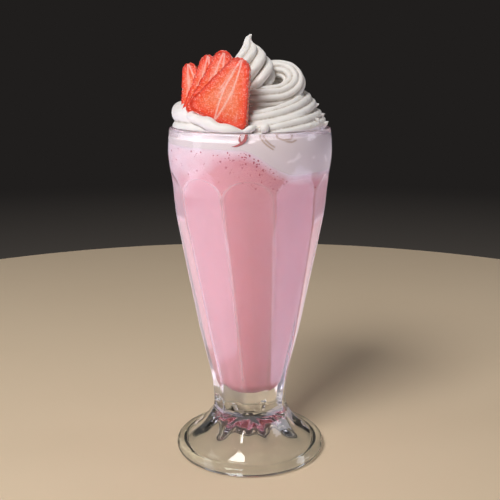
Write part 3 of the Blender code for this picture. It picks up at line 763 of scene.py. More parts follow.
def strawberry_flesh(settings):
    """Cut strawberry: wet orange-red flesh with pale veins that fan out from the tip."""
    material, tree, output = new_material("cut_strawberry_flesh")
    across = node(tree, "ShaderNodeAttribute", attribute_name="across")
    down = node(tree, "ShaderNodeAttribute", attribute_name="down")
    share = node(tree, "ShaderNodeAttribute", attribute_name="share")
    place = node(tree, "ShaderNodeTexCoord")
    angle = node(tree, "ShaderNodeMath", {
        0: across.outputs["Fac"], 1: down.outputs["Fac"]}, operation="ARCTAN2")
    fan = node(tree, "ShaderNodeCombineXYZ", {0: angle.outputs[0], 1: down.outputs["Fac"]})
    stretch = node(tree, "ShaderNodeMapping", {
        "Vector": fan.outputs[0], "Scale": (7.0, 45.0, 1.0)})
    strands = node(tree, "ShaderNodeTexNoise", {
        "Vector": stretch.outputs[0], "Scale": 1.0, "Detail": 3.0, "Roughness": 0.6})
    vein = node(tree, "ShaderNodeMapRange", {
        "Value": strands.outputs["Fac"], "From Min": 0.50, "From Max": 0.66},
        interpolation_type="SMOOTHSTEP")
    heart = node(tree, "ShaderNodeMapRange", {
        "Value": share.outputs["Fac"], "From Min": 0.92, "From Max": 0.35},
        interpolation_type="SMOOTHSTEP")
    shown = node(tree, "ShaderNodeMath", {
        0: vein.outputs["Result"], 1: heart.outputs["Result"]}, operation="MULTIPLY")
    fine_veins = node(tree, "ShaderNodeMath", {
        0: shown.outputs[0], 1: FINE_VEINS}, operation="MULTIPLY")
    # Two long veins run round the berry's core, from its cut top to its tip.
    rise = node(tree, "ShaderNodeAttribute", attribute_name="rise")
    arch = node(tree, "ShaderNodeMath", {0: rise.outputs["Fac"], 1: math.pi}, operation="MULTIPLY")
    bulge = node(tree, "ShaderNodeMath", {0: arch.outputs[0]}, operation="SINE")
    away = node(tree, "ShaderNodeMath", {0: across.outputs["Fac"]}, operation="ABSOLUTE")
    beside = node(tree, "ShaderNodeMath", {
        0: bulge.outputs[0], 1: -CORE_WIDTH, 2: away.outputs[0]}, operation="MULTIPLY_ADD")
    gap = node(tree, "ShaderNodeMath", {0: beside.outputs[0]}, operation="ABSOLUTE")
    long_veins = node(tree, "ShaderNodeMapRange", {
        "Value": gap.outputs[0], "From Min": VEIN_WIDTH, "From Max": 0.0, "To Max": LONG_VEINS},
        interpolation_type="SMOOTHSTEP")
    veins = node(tree, "ShaderNodeMath", {
        0: fine_veins.outputs[0], 1: long_veins.outputs["Result"]}, operation="MAXIMUM")
    mottle = node(tree, "ShaderNodeTexNoise", {
        "Vector": place.outputs["Object"], "Scale": 1 / (0.75 * MM), "Detail": 3.0, "Roughness": 0.65})
    # Pale grain specks: partly the flesh's own grain, partly painted glints on the wet flesh.
    grains_and_glints = node(tree, "ShaderNodeMapRange", {
        "Value": mottle.outputs["Fac"], "From Min": 0.55, "From Max": 0.66})
    flesh = node(tree, "ShaderNodeValToRGB", {"Fac": share.outputs["Fac"]}, ramp=(
        (0.0, settings.heart_colour),
        (0.55, settings.flesh_colour),
        (0.86, settings.rim_colour),
        (0.985, settings.skin_colour)))
    dimmed = node(tree, "ShaderNodeMath", {
        0: grains_and_glints.outputs["Result"], 1: GRAIN_AND_GLINT_SHARE}, operation="MULTIPLY")
    speckled = node(tree, "ShaderNodeMix", {
        0: dimmed.outputs[0], 6: flesh.outputs["Color"], 7: rgba(settings.grain_and_glint_colour)},
        data_type="RGBA")
    veined = node(tree, "ShaderNodeMix", {
        0: veins.outputs[0], 6: speckled.outputs[2], 7: rgba(settings.vein_colour)},
        data_type="RGBA")
    bump = node(tree, "ShaderNodeBump", {
        "Strength": 0.9, "Distance": 0.20 * MM, "Height": mottle.outputs["Fac"]})
    shader = node(tree, "ShaderNodeBsdfPrincipled", {
        "Base Color": veined.outputs[2], "Roughness": 0.25, "IOR": 1.4,
        "Subsurface Weight": 0.25, "Subsurface Radius": (1.0, 0.25, 0.15), "Subsurface Scale": 1.2 * MM,
        "Coat Weight": 0.5, "Coat Roughness": 0.10, "Normal": bump.outputs["Normal"]})
    tree.links.new(shader.outputs[0], output.inputs["Surface"])
    return material


def strawberry_skin(settings):
    """The skin round a slice: thin, dark, glossy red, lighter in the pits of its seeds."""
    material, tree, output = new_material("strawberry_skin")
    pit = node(tree, "ShaderNodeAttribute", attribute_name="pit")
    place = node(tree, "ShaderNodeTexCoord")
    mottle = node(tree, "ShaderNodeTexNoise", {
        "Vector": place.outputs["Object"], "Scale": 1 / (2 * MM), "Detail": 2.0})
    red = node(tree, "ShaderNodeMix", {
        0: mottle.outputs["Fac"], 6: rgba(settings.skin_colour), 7: rgba(settings.rim_colour)},
        data_type="RGBA")
    lighter = node(tree, "ShaderNodeMath", {
        0: pit.outputs["Fac"], 1: PIT_LIGHT}, operation="MULTIPLY")
    pitted = node(tree, "ShaderNodeMix", {
        0: lighter.outputs[0], 6: red.outputs[2], 7: rgba(settings.grain_and_glint_colour)},
        data_type="RGBA")
    shader = node(tree, "ShaderNodeBsdfPrincipled", {
        "Base Color": pitted.outputs[2], "Roughness": 0.25, "IOR": 1.4,
        "Subsurface Weight": 0.2, "Subsurface Radius": (1.0, 0.2, 0.1), "Subsurface Scale": 1.2 * MM,
        "Coat Weight": 0.5, "Coat Roughness": 0.1})
    tree.links.new(shader.outputs[0], output.inputs["Surface"])
    return material


def seed_husk(settings):
    """The hard seeds of the skin: dry, straw yellow, a little brown at places."""
    material, tree, output = new_material("strawberry_seed_husk")
    place = node(tree, "ShaderNodeTexCoord")
    patch = node(tree, "ShaderNodeTexNoise", {
        "Vector": place.outputs["Object"], "Scale": 1 / (1.2 * MM), "Detail": 1.0})
    straw = node(tree, "ShaderNodeMix", {
        0: patch.outputs["Fac"], 6: rgba(settings.seed_colour), 7: rgba(settings.seed_dark)},
        data_type="RGBA")
    shader = node(tree, "ShaderNodeBsdfPrincipled", {
        "Base Color": straw.outputs[2], "Roughness": 0.35, "Coat Weight": 0.3, "Coat Roughness": 0.15})
    tree.links.new(shader.outputs[0], output.inputs["Surface"])
    return material


def berry_pulp(name, colour, dark):
    """Bruised berry: deep wet red that darkens in patches."""
    material, tree, output = new_material(name)
    place = node(tree, "ShaderNodeTexCoord")
    patch = node(tree, "ShaderNodeTexNoise", {
        "Vector": place.outputs["Object"], "Scale": 1 / (0.9 * MM), "Detail": 2.0})
    red = node(tree, "ShaderNodeMix", {
        0: patch.outputs["Fac"], 6: rgba(colour), 7: rgba(dark)}, data_type="RGBA")
    shader = node(tree, "ShaderNodeBsdfPrincipled", {
        "Base Color": red.outputs[2], "Roughness": 0.2, "IOR": 1.38,
        "Subsurface Weight": 0.2, "Subsurface Radius": (1.0, 0.2, 0.15), "Subsurface Scale": 0.8 * MM})
    tree.links.new(shader.outputs[0], output.inputs["Surface"])
    return material


def pale_table(settings):
    """A matt lacquered table top: plain, pale and slightly uneven in tone."""
    material, tree, output = new_material("pale_matt_lacquer")
    place = node(tree, "ShaderNodeTexCoord")
    tone = node(tree, "ShaderNodeTexNoise", {
        "Vector": place.outputs["Object"], "Scale": 1 / (90 * MM), "Detail": 3.0})
    faint = node(tree, "ShaderNodeMapRange", {
        "Value": tone.outputs["Fac"], "To Min": 0.0, "To Max": 0.25})
    pale = node(tree, "ShaderNodeMix", {
        0: faint.outputs["Result"], 6: rgba(settings.floor_colour), 7: rgba(settings.floor_shade)},
        data_type="RGBA")
    shader = node(tree, "ShaderNodeBsdfPrincipled", {
        "Base Color": pale.outputs[2], "Roughness": 0.55})
    tree.links.new(shader.outputs[0], output.inputs["Surface"])
    return material


def colour_property(name, description, code):
    """A colour that the user may change, with its default as an sRGB hex value."""
    return bpy.props.FloatVectorProperty(
        name=name, description=description, subtype="COLOR", size=3, min=0, max=1,
        default=linear(code))


def length_property(name, description, default):
    """A length in metres that the user may change."""
    return bpy.props.FloatProperty(
        name=name, description=description, unit="LENGTH", min=0, precision=5, default=default)


class GlassSettings(bpy.types.PropertyGroup):
    """Sizes and colours of the glass."""

    ridge: length_property("Ridge width", "How wide the ridge between two panels is rounded", 0.0010)
    lip: length_property("Lip width", "How wide the lip of a panel's arch is rounded", 0.0008)
    hollow: length_property("Panel hollow", "How far the middle of a panel is hollowed", 0.00015)
    # The line along a ridge and round an arch's lip is a painted highlight, drawn as thicker mist.
    ridge_highlight_width: length_property("Ridge shine", "How wide the worn line along a ridge is", 0.0014)
    # The soft line down the middle of the front panel is a painted highlight, drawn as thicker mist.
    front_highlight_width: length_property("Seam shine", "How wide the soft line of the mould's seam is", 0.0011)
    haze: bpy.props.FloatProperty(
        name="Haze", description="How much mist the cold drink leaves on the wall",
        min=0, max=1, default=0.165)
    roughness: bpy.props.FloatProperty(
        name="Roughness", description="Roughness of the polished foot", min=0, max=1, default=0.015)
    misted_roughness: bpy.props.FloatProperty(
        name="Misted roughness", description="Roughness of the misted wall", min=0, max=1, default=0.12)
    colour: colour_property("Colour", "Colour of the clear glass", "FAFDFC")
    # The mist's colour is also the colour of its painted highlights and painted sheen.
    mist_and_highlight_colour: colour_property("Mist", "Colour of the misted wall, with the drink's pink in it", "F8EFF4")
    shadow_colour: colour_property("Shadow colour", "How much lamp light the wall lets through", "EEF2F1")
    foot_shadow: colour_property("Foot shadow", "How much lamp light the thick foot lets through", "7E807E")


class DrinkSettings(bpy.types.PropertyGroup):
    """Colours of the drink and its specks of fruit."""

    colour: colour_property("Pink", "The drink's deeper pink", "CE828A")
    light_colour: colour_property("Light pink", "The drink's lighter pink", "D48E97")
    froth_colour: colour_property("Froth", "Froth at the drink's level", "E8DADF")
    speck_colour: colour_property("Specks", "Bits of berry in the drink", "B82C4A")
    speck_dark: colour_property("Dark specks", "The darkest bits of berry", "86203A")
    speck_count: bpy.props.IntProperty(
        name="Specks", description="Number of bits of berry that show", min=0, default=200)


class CreamSettings(bpy.types.PropertyGroup):
    """Sizes and colours of the cream."""

    voxel: length_property("Detail", "Size of the finest detail that the coils are merged with", 0.00036)
    colour: colour_property("White", "The cream's own white", "F4F2EF")
    shade_colour: colour_property("Soft white", "A slightly deeper white that drifts through it", "E6E1DA")
    # The greyer tone of cream pressed on the glass is partly its own translucent look and partly painted
    # shade.
    wall_tone_and_shade_colour: colour_property("Smear", "Cream smeared on the glass, thinned by the drink", "D4CDC8")
    # Painted shade: the grooves are painted warmer and darker where shade falls.
    groove_shade_colour: colour_property("Grooves", "The warmer tone of thick cream in its grooves", "B4A594")
    # Painted shade: the dark line along each crease.
    crease_shade_colour: colour_property("Creases", "Creases on the glass, where juice gathers", "A08662")


class BerrySettings(bpy.types.PropertyGroup):
    """Sizes and colours of the strawberry slices."""

    pit_depth: length_property("Pit depth", "How deep the seeds sit in the skin", 0.00075)
    heart_colour: colour_property("Heart", "Pale flesh at the middle of a slice", "F59271")
    flesh_colour: colour_property("Flesh", "Orange-red flesh", "F26A3C")
    rim_colour: colour_property("Outer flesh", "Deeper flesh under the skin", "EE4520")
    skin_colour: colour_property("Skin", "Dark red skin", "B01A10")
    vein_colour: colour_property("Veins", "Pale veins", "F8D2C6")
    # The pale grain specks are partly the flesh's own grain and partly painted highlights for glints on the
    # wet flesh.
    grain_and_glint_colour: colour_property("Grain", "Pale grain of the wet flesh", "FFCDB8")
    seed_colour: colour_property("Seeds", "Straw yellow seeds", "F0C04E")
    seed_dark: colour_property("Seed shade", "Browner seeds", "C98530")
    juice_colour: colour_property("Juice", "Juice and pulp under the first slice", "B81C0E")
    juice_dark: colour_property("Dark juice", "Where the juice is thick", "760E08")


class StageSettings(bpy.types.PropertyGroup):
    """The table, the light and the camera."""

    table_radius: length_property("Table radius", "Half the width of the round table top", 0.52)
    key: bpy.props.FloatProperty(
        name="Key light", description="Power of the soft light high at the front left", min=0, default=7.9)
    fill: bpy.props.FloatProperty(
        name="Left light", description="Power of the window on the left", min=0, default=0.9)
    rim: bpy.props.FloatProperty(
        name="Right light", description="Power of the small window on the right", min=0, default=0.8)
    top: bpy.props.FloatProperty(
        name="Top light", description="Power of the small panel in the ceiling", min=0, default=0.3)
    low: bpy.props.FloatProperty(
        name="Low light", description="Power of the low boxes, of which each has its share",
        min=0, default=0.9)
    floor_colour: colour_property("Floor", "Pale table top", "F0DABA")
    floor_shade: colour_property("Floor shade", "Its slightly deeper tone", "E2C8A4")


def panel_radius(radius, z, angle, settings):
    """The radius where flat panels with arched ends are pressed into a round wall.

    Beside it comes how close each point is to a ridge or to the lip of an arch, from 0 to 1, which the
    glass's material paints as a highlight.
    """
    climb = np.where(
        z > ARCH_SPRING,
        (z - ARCH_SPRING) / (ARCH_TOP - ARCH_SPRING),
        (FOOT_ARCH_SPRING - z) / (FOOT_ARCH_SPRING - FOOT_ARCH_END))
    half_width = HALF_PANEL * np.sqrt(1 - np.clip(climb, 0.0, 1.0) ** 2)
    off_centre = np.abs((angle - PANEL_FRONT + HALF_PANEL) % (2 * HALF_PANEL) - HALF_PANEL)
    flat = radius * np.cos(half_width)
    across = np.clip(off_centre / np.maximum(half_width, TINY), 0.0, 1.0)
    hollow = settings.hollow * (1 - across ** 2) * ease(half_width / HALF_PANEL)
    own = flat / np.cos(off_centre) - hollow
    neighbour = flat / np.cos(2 * HALF_PANEL - off_centre)
    ridged = smooth_min(own, neighbour, settings.ridge)
    pressed = smooth_min(ridged, radius, settings.lip)
    from_ridge = (half_width - off_centre) * radius
    ridge = np.exp(-(from_ridge / settings.ridge_highlight_width) ** 2) * (climb < 1)
    return np.where(climb >= 1, radius, pressed), ridge


def flute_turn(z):
    """How far the panels have turned round the glass at each height."""
    share = np.clip((TURN_TOP_HEIGHT - z) / (TURN_TOP_HEIGHT - TURN_FOOT_HEIGHT), 0.0, 1.0)
    return TURN_TOP + (TURN_FOOT - TURN_TOP) * share


def bowl_bottom(reach):
    """The bowl's round bottom from the axis to its wall, let into the glass by a reach."""
    wall_height, wall = INNER[0]
    wide = wall + reach
    deep = wall_height - BOWL_BOTTOM + reach
    angles = [math.pi / 2 * k / BOTTOM_ROWS for k in range(BOTTOM_ROWS)]
    return [(wide * math.sin(a), wall_height - deep * math.cos(a)) for a in angles]


def glass_outline():
    """The section of the glass, from the bottom of the bowl up, over the rim and down to the foot."""
    inner_rows = heights(INNER[0][0], INNER[-1][0], INNER_STEP)
    ends = [start for start, _ in OUTER_ROWS[1:]] + [OUTER[-1][0]]
    outer_rows = []
    for (start, step), end in zip(OUTER_ROWS, ends):
        outer_rows += heights(start, end, step)
    rim_low, rim_outer = OUTER[-1]
    rim_inner = INNER[-1][1]
    outline = bowl_bottom(0.0)
    outline += [(float(inner_radius(z)), z) for z in inner_rows]
    outline += arc((rim_inner + rim_outer) / 2, rim_low, GLASS_HEIGHT - rim_low, 180, 0, RIM_POINTS)
    outline += [(float(outer_radius(z)), z) for z in outer_rows[::-1]]
    outline += arc(FOOT_RING_RADIUS, FOOT_BEAD, FOOT_BEAD, FOOT_BEAD_START, -90, BEAD_POINTS)
    outline += [(FOOT_FLAT_INNER, 0.0)]
    low, high = UNDERSIDE[0][0], UNDERSIDE[-1][0]
    under = radius_table(UNDERSIDE)
    # The rows crowd towards the middle, where the hollow is nearly level.
    rows = [low + (high - low) * math.sin(math.pi / 2 * k / HOLLOW_ROWS) for k in range(HOLLOW_ROWS)]
    outline += [(float(under(z)), z) for z in rows]
    return outline + [(0.0, high)]


class MILKSHAKE_OT_glass(bpy.types.Operator):
    """Model the pressed glass: bowl, solid stem and hollow foot"""

    bl_idname = "milkshake.glass"
    bl_label = "Glass"

    def execute(self, context):
        settings = context.scene.milkshake_glass
        glass = turned("pressed_glass", glass_outline(), GLASS_COLUMNS)
        points = points_of(glass.data)
        x, y, z = points.T
        radius = np.hypot(x, y)
        angle = np.arctan2(y, x)
        outside = (z >= OUTER[0][0] - TINY) & (np.abs(radius - outer_radius(z)) < ON_WALL)
        pressed, ridge = panel_radius(radius, z, angle, settings)
        radius = np.where(outside, pressed, radius)
        # A soft painted highlight line down the middle of the front panel.
        seam = np.exp(-((angle - PANEL_FRONT) * radius / settings.front_highlight_width) ** 2)
        # The hollow under the foot is scalloped between the panels.
        under = ~outside & (z < UNDERSIDE[-1][0] + TINY) & (radius < FOOT_FLAT_INNER)
        shown = ease((radius - SCALLOP_FROM) / SCALLOP_RISE) * ease((SCALLOP_TO - radius) / SCALLOP_FALL)
        z = np.where(under, z + SCALLOP * shown * np.cos(PANELS * (angle - PANEL_FRONT)), z)
        angle = angle + flute_turn(z)
        set_points(glass.data, np.column_stack((radius * np.cos(angle), radius * np.sin(angle), z)))
        # Closeness to a ridge and to the front panel's middle line is kept for painted highlights, and the
        # mist is thicker on the left as painted sheen.
        set_values(glass.data, "ridge", np.where(outside, ridge, 0.0))
        set_values(glass.data, "seam", np.where(outside & (z < ARCH_TOP), seam, 0.0))
        set_values(glass.data, "mist", np.where(outside, 1 - LEFT_SHEEN * np.cos(angle), 1.0))
        glass.data.materials.append(pressed_glass(settings))
        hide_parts("glass")
        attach(glass, BODY)
        return {"FINISHED"}


class MILKSHAKE_OT_drink(bpy.types.Operator):
    """Model the drink up to its sloping level, reaching just into the glass"""

    bl_idname = "milkshake.drink"
    bl_label = "Drink"

    def execute(self, context):
        rows = heights(INNER[0][0], LEVEL_HIGH, DRINK_STEP) + [LEVEL_HIGH]
        outline = bowl_bottom(WALL_REACH)
        outline += [(float(inner_radius(z)) + WALL_REACH, z) for z in rows]
        edge = outline[-1][0]
        outline += [(edge * ring / LEVEL_RINGS, LEVEL_HIGH) for ring in range(LEVEL_RINGS - 1, -1, -1)]
        drink = turned("pink_milkshake", outline, DRINK_COLUMNS)
        points = points_of(drink.data)
        x, y, z = points.T
        start = INNER[0][0]
        share = np.clip((z - start) / (LEVEL_HIGH - start), 0.0, 1.0)
        low = start + share * (surface_height(x) - start)
        stretch = (inner_radius(low) + WALL_REACH) / (inner_radius(z) + WALL_REACH)
        stretch = np.where(share > 0, stretch, 1.0)
        low = np.where(share > 0, low, z)
        set_points(drink.data, np.column_stack((x * stretch, y * stretch, low)))
        # On the left the froth clings to the wall further down.
        clinging = 1 - CLING * ease(-x / CLING_WIDTH)
        set_values(drink.data, "depth", (surface_height(x * stretch) - low) * clinging)
        drink.data.materials.append(milk_drink(context.scene.milkshake_drink))
        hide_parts("milkshake")
        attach(drink, BODY)
        return {"FINISHED"}


def wall_point(x, z, reach):
    """The place on the inside of the glass's front wall at x and height z."""
    radius = float(inner_radius(z)) + reach
    return Vector((x, -math.sqrt(radius * radius - x * x), z))


def scatter(name, shape, frames):
    """One mesh of many copies of a small shape, which is removed."""
    mesh = shape.data
    corners = points_of(mesh)
    corners = np.column_stack((corners, np.ones(len(corners))))
    faces = np.array([polygon.vertices[:] for polygon in mesh.polygons])
    places = np.vstack([corners @ np.array(place).T for place in frames])[:, :3]
    copies = np.vstack([faces + k * len(corners) for k in range(len(frames))])
    result = bpy.data.meshes.new(name)
    result.from_pydata(places.tolist(), [], copies.tolist())
    result.shade_smooth()
    bpy.data.objects.remove(shape, do_unlink=True)
    thing = bpy.data.objects.new(name, result)
    bpy.context.scene.collection.objects.link(thing)
    return thing


class MILKSHAKE_OT_specks(bpy.types.Operator):
    """Scatter specks of berry in the drink, most of them near its level"""

    bl_idname = "milkshake.specks"
    bl_label = "Fruit specks"

    def execute(self, context):
        settings = context.scene.milkshake_drink
        draw = random.Random(SPECK_SEED)
        frames = []
        for number in range(settings.speck_count):
            if number % SPECK_FRONT_EVERY == 0:
                turn = draw.gauss(SPECK_FRONT, SPECK_SPREAD)
            else:
                turn = draw.uniform(0, 2 * math.pi)
            down = min(SPECK_TOP + draw.expovariate(1 / SPECK_DOWN), SPECK_LOWEST)
            z = float(surface_height(SPECK_RADIUS * math.cos(turn))) - down
            radius = float(inner_radius(z)) + WALL_REACH
            size = draw.triangular(*SPECK_SIZES)
            place = Matrix.Translation((radius * math.cos(turn), radius * math.sin(turn), z))
            face = Matrix.Rotation(turn, 4, "Z") @ Matrix.Rotation(draw.uniform(0, SPECK_TURN), 4, "X")
            across = size * draw.uniform(*SPECK_ACROSS)
            along = size * draw.uniform(*SPECK_ALONG)
            frames.append(place @ face @ Matrix.Diagonal((SPECK_THICKNESS, across, along, 1)))
        deselect()
        bpy.ops.mesh.primitive_ico_sphere_add(subdivisions=2, radius=1)
        specks = scatter("fruit_specks", bpy.context.object, frames)
        specks.data.materials.append(berry_pulp("berry_specks", settings.speck_colour, settings.speck_dark))
        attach(specks, BODY)
        return {"FINISHED"}


def star_section(lobes, valley):
    """The star-shaped hole of a piping nozzle, one unit in radius, with round lobes and sharp valleys."""
    curve = bpy.data.curves.new("star", "CURVE")
    curve.dimensions = "2D"
    curve.fill_mode = "NONE"
    spline = curve.splines.new("POLY")
    spline.points.add(STAR_POINTS - 1)
    for k, point in enumerate(spline.points):
        angle = 2 * math.pi * k / STAR_POINTS
        crest = abs(math.cos(angle * lobes / 2)) ** STAR_ROUNDNESS
        radius = valley + (1 - valley) * crest
        point.co = (radius * math.cos(angle), radius * math.sin(angle), 0, 1)
    spline.use_cyclic_u = True
    star = bpy.data.objects.new("star", curve)
    bpy.context.scene.collection.objects.link(star)
    return star


def cream_fill():
    """What fills the glass and rises from the rim to the coils: a drum, a cone and a dome."""
    deselect()
    bpy.ops.mesh.primitive_cylinder_add(
        vertices=FILL_SIDES, radius=FILL_RADIUS, depth=FILL_TOP - FILL_BASE,
        location=(0, 0, (FILL_TOP + FILL_BASE) / 2))
    drum = bpy.context.object
    settle(drum)
    deselect()
    bpy.ops.mesh.primitive_cone_add(
        vertices=FILL_SIDES, radius1=CORE_BASE_RADIUS, radius2=CORE_TOP_RADIUS,
        depth=CORE_TOP - CORE_BASE, location=(CORE_X, CORE_Y, (CORE_TOP + CORE_BASE) / 2))
    cone = bpy.context.object
    settle(cone)
    deselect()
    bpy.ops.mesh.primitive_uv_sphere_add(
        segments=FILL_SIDES, ring_count=DOME_RINGS, radius=1, location=(0, 0, DOME_MIDDLE))
    dome = bpy.context.object
    dome.scale = (FILL_RADIUS, FILL_RADIUS, DOME_RISE)
    settle(dome)
    return [drum, cone, dome]


def uneven(points, size):
    """Smooth noise at points, between about -1 and 1, the same on every run."""
    return np.array([noise.noise(Vector(point) / size) for point in points])


def normals_of(mesh):
    """A mesh's outward directions at its points."""
    values = np.empty(len(mesh.vertices) * 3)
    mesh.vertices.foreach_get("normal", values)
    return values.reshape(-1, 3)


def wander(mesh):
    """Let the cream's surface wander a little, and roughen it where it is torn at the right."""
    points = points_of(mesh)
    x, _, z = points.T
    torn = ease((x - ROUGH_FROM) / ROUGH_FROM_BLEND)
    torn *= ease((z - ROUGH_LOW) / ROUGH_LOW_BLEND)
    torn *= ease((ROUGH_HIGH - z) / ROUGH_HIGH_BLEND)
    offset = WANDER * uneven(points, WANDER_SIZE)
    rough = np.zeros(len(points))
    at = torn > 0
    rough[at] = ROUGH * uneven(points[at] * ROUGH_STRETCH, ROUGH_SIZE)
    set_points(mesh, points + normals_of(mesh) * (offset + rough * torn)[:, None])


def grooves(mesh):
    """How much painted shade each point gets from how deep in a groove it lies, from 0 on open surface."""
    points = points_of(mesh)
    ends = np.empty(len(mesh.edges) * 2, dtype=np.int64)
    mesh.edges.foreach_get("vertices", ends)
    ends = ends.reshape(-1, 2)
    ends = np.vstack((ends, ends[:, ::-1]))
    count = np.bincount(ends[:, 0], minlength=len(points))[:, None]

    def mean_beside(values):
        total = [np.bincount(ends[:, 0], column[ends[:, 1]], len(points)) for column in values.T]
        return np.column_stack(total) / np.maximum(count, 1)

    wide = points
    for _ in range(GROOVE_REACH):
        wide = mean_beside(wide)
    depth = np.sum((wide - points) * normals_of(mesh), axis=1)[:, None]
    for _ in range(GROOVE_REACH):
        depth = mean_beside(depth)
    return GROOVE_SHADE * ease(depth[:, 0] / GROOVE_DEPTH)


def cut_below(thing, height):
    """Cut off and close what lies below a height."""
    edit(thing)
    bpy.ops.mesh.bisect(plane_co=(0, 0, height), plane_no=(0, 0, 1), clear_inner=True, use_fill=True)
    finish_edit()


def fit_in_glass(points):
    """Draw the piped cream in, so that below the rim it stays inside the cream pressed on the wall."""
    x, y, z = points.T
    radius = np.hypot(x, y)
    over = GLASS_HEIGHT + RIM_CLEARANCE
    limit = np.where(z < over, inner_radius(z) - PIPED_CLEARANCE, CREAM_LIMIT_RADIUS)
    scale = np.minimum(radius, limit) / np.maximum(radius, TINY)
    return np.column_stack((x * scale, y * scale, z))


def near_path(x, z, path, width):
    """How near points are to a line of points, from 0 far off to 1 on it."""
    gap = np.full(len(x), np.inf)
    for (x0, z0), (x1, z1) in zip(path, path[1:]):
        along = ((x - x0) * (x1 - x0) + (z - z0) * (z1 - z0)) / ((x1 - x0) ** 2 + (z1 - z0) ** 2)
        along = np.clip(along, 0.0, 1.0)
        gap = np.minimum(gap, np.hypot(x - x0 - along * (x1 - x0), z - z0 - along * (z1 - z0)))
    return np.exp(-(gap / width) ** 2)


def cream_in_glass():
    """The cream between the drink and the rim, pressed against the glass.

    At the left it stands clear of the wall under the rim. At the front, folds of it leave creases on the
    glass, painted darker as painted shade, and white streaks on it are painted highlights. Where it touches
    the glass its tone is greyer, partly painted shade.
    """
    top = INNER[-1][0] - CREAM_UNDER_RIM
    rows = heights(0.0, 1.0, 1 / CREAM_ROWS) + [1.0]
    rings = [CREAM_DRUM * ring / CREAM_RINGS for ring in range(CREAM_RINGS)]
    outline = [(ring, 0.0) for ring in rings]
    outline += [(CREAM_DRUM, share) for share in rows]
    outline += [(ring, 1.0) for ring in rings[::-1]]
    drum = turned("cream_in_glass", outline, CREAM_COLUMNS)
    points = points_of(drum.data)
    x, y, share = points.T
    radius = np.hypot(x, y)
    angle = np.arctan2(y, x)
    # The rows run from just under the drink's level to the rim.
    reach = float(inner_radius(LEVEL_HIGH))
    base = surface_height(reach * radius / CREAM_DRUM * np.cos(angle)) - LEVEL_OVERLAP
    z = base + (top - base) * share
    # It laps over the drink's edge by a hair, and under that it lies inside the drink.
    out = radius / CREAM_DRUM * (inner_radius(z) + WALL_REACH + CREAM_OVER_DRINK)
    below = z < surface_height(out * np.cos(angle)) - CREAM_LAP
    out = np.where(below, out - CREAM_TUCK * radius / CREAM_DRUM, out)
    left = ease((GAP_END - out * np.cos(angle)) / GAP_FADE) * (y < 0) + (y >= 0) * (x < 0)
    gap = GAP_DEPTH * ease((z - GAP_START) / GAP_BLEND) * np.clip(left, 0, 1)
    ring = np.column_stack((np.cos(angle), np.sin(angle), z / GAP_WAVE_RISE))
    wavy = 1 + GAP_WAVES * uneven(ring, GAP_WAVE_SIZE)
    rounding = EDGE_ROUND * ease((z - (top - EDGE_HEIGHT)) / EDGE_HEIGHT)
    at_wall = radius > AT_WALL * CREAM_DRUM
    front = (y < 0) & at_wall
    front_x, front_z = out[front] * np.cos(angle[front]), z[front]
    crease, highlight_streak = np.zeros(len(out)), np.zeros(len(out))
    for path in CREASES:
        crease[front] = np.maximum(crease[front], near_path(front_x, front_z, path, CREASE_WIDTH))
    for path in HIGHLIGHT_STREAKS:
        highlight_streak[front] = np.maximum(highlight_streak[front], near_path(front_x, front_z, path, HIGHLIGHT_STREAK_WIDTH))
    out = out - (gap * wavy + rounding + CREASE_DEPTH * crease) * (radius / CREAM_DRUM)
    # The greyer wall tone is partly painted shade.
    wall = at_wall * ease(1 - (gap + rounding) / OFF_GLASS)
    set_points(drum.data, np.column_stack((out * np.cos(angle), out * np.sin(angle), z)))
    # The streaks lift the wall tone back to white, as painted highlights.
    set_values(drum.data, "wall", wall * (1 - highlight_streak))
    set_values(drum.data, "crease", crease)
    set_values(drum.data, "groove", np.zeros(len(out)))
    return drum


class MILKSHAKE_OT_cream(bpy.types.Operator):
    """Pipe the cream: coils, curl, last drop and fold, merged into one body"""

    bl_idname = "milkshake.cream"
    bl_label = "Whipped cream"

    def execute(self, context):
        settings = context.scene.milkshake_cream
        star = star_section(*COIL_STAR)
        drop_star = star_section(*DROP_STAR)
        pieces = [
            rope("base_coil", BASE_COIL, star),
            rope("low_coil", LOW_COIL, star),
            rope("top_coil", TOP_COIL, star),
            rope("drop", [point[:4] for point in DROP], drop_star, [point[4] for point in DROP]),
        ]
        plain_ropes = {"fold": FOLD, "low_fold": LOW_FOLD, "lap": LAP, "backing": BACKING}
        pieces += [rope(name, points) for name, points in plain_ropes.items()]
        pieces += [rope("lump", points) for points in LUMPS]
        pieces += [rope("tear", points) for points in TEARS]
        pieces += cream_fill()
        bpy.data.objects.remove(star, do_unlink=True)
        bpy.data.objects.remove(drop_star, do_unlink=True)
        cream = join("piped_cream", pieces)
        apply_modifier(cream, "REMESH", mode="VOXEL", voxel_size=settings.voxel, use_smooth_shade=True)
        cut_below(cream, PIPED_BASE)
        apply_modifier(cream, "SMOOTH", factor=SMOOTHING, iterations=SMOOTHING_ROUNDS)
        wander(cream.data)
        triangles = 2 * len(cream.data.polygons)
        apply_modifier(cream, "DECIMATE", ratio=min(1.0, CREAM_FACES / triangles))
        set_points(cream.data, fit_in_glass(points_of(cream.data)))
        for name in ("wall", "crease"):
            set_values(cream.data, name, np.zeros(len(cream.data.vertices)))
        # The grooves get painted shade.
        set_values(cream.data, "groove", grooves(cream.data))
        sunk = cream_in_glass()
        white = whipped_cream(settings)
        for piece in (cream, sunk):
            pick(piece)
            bpy.ops.object.shade_smooth()
            piece.data.materials.clear()
            piece.data.materials.append(white)
            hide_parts("whipped_cream")
            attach(piece, BODY)
        return {"FINISHED"}


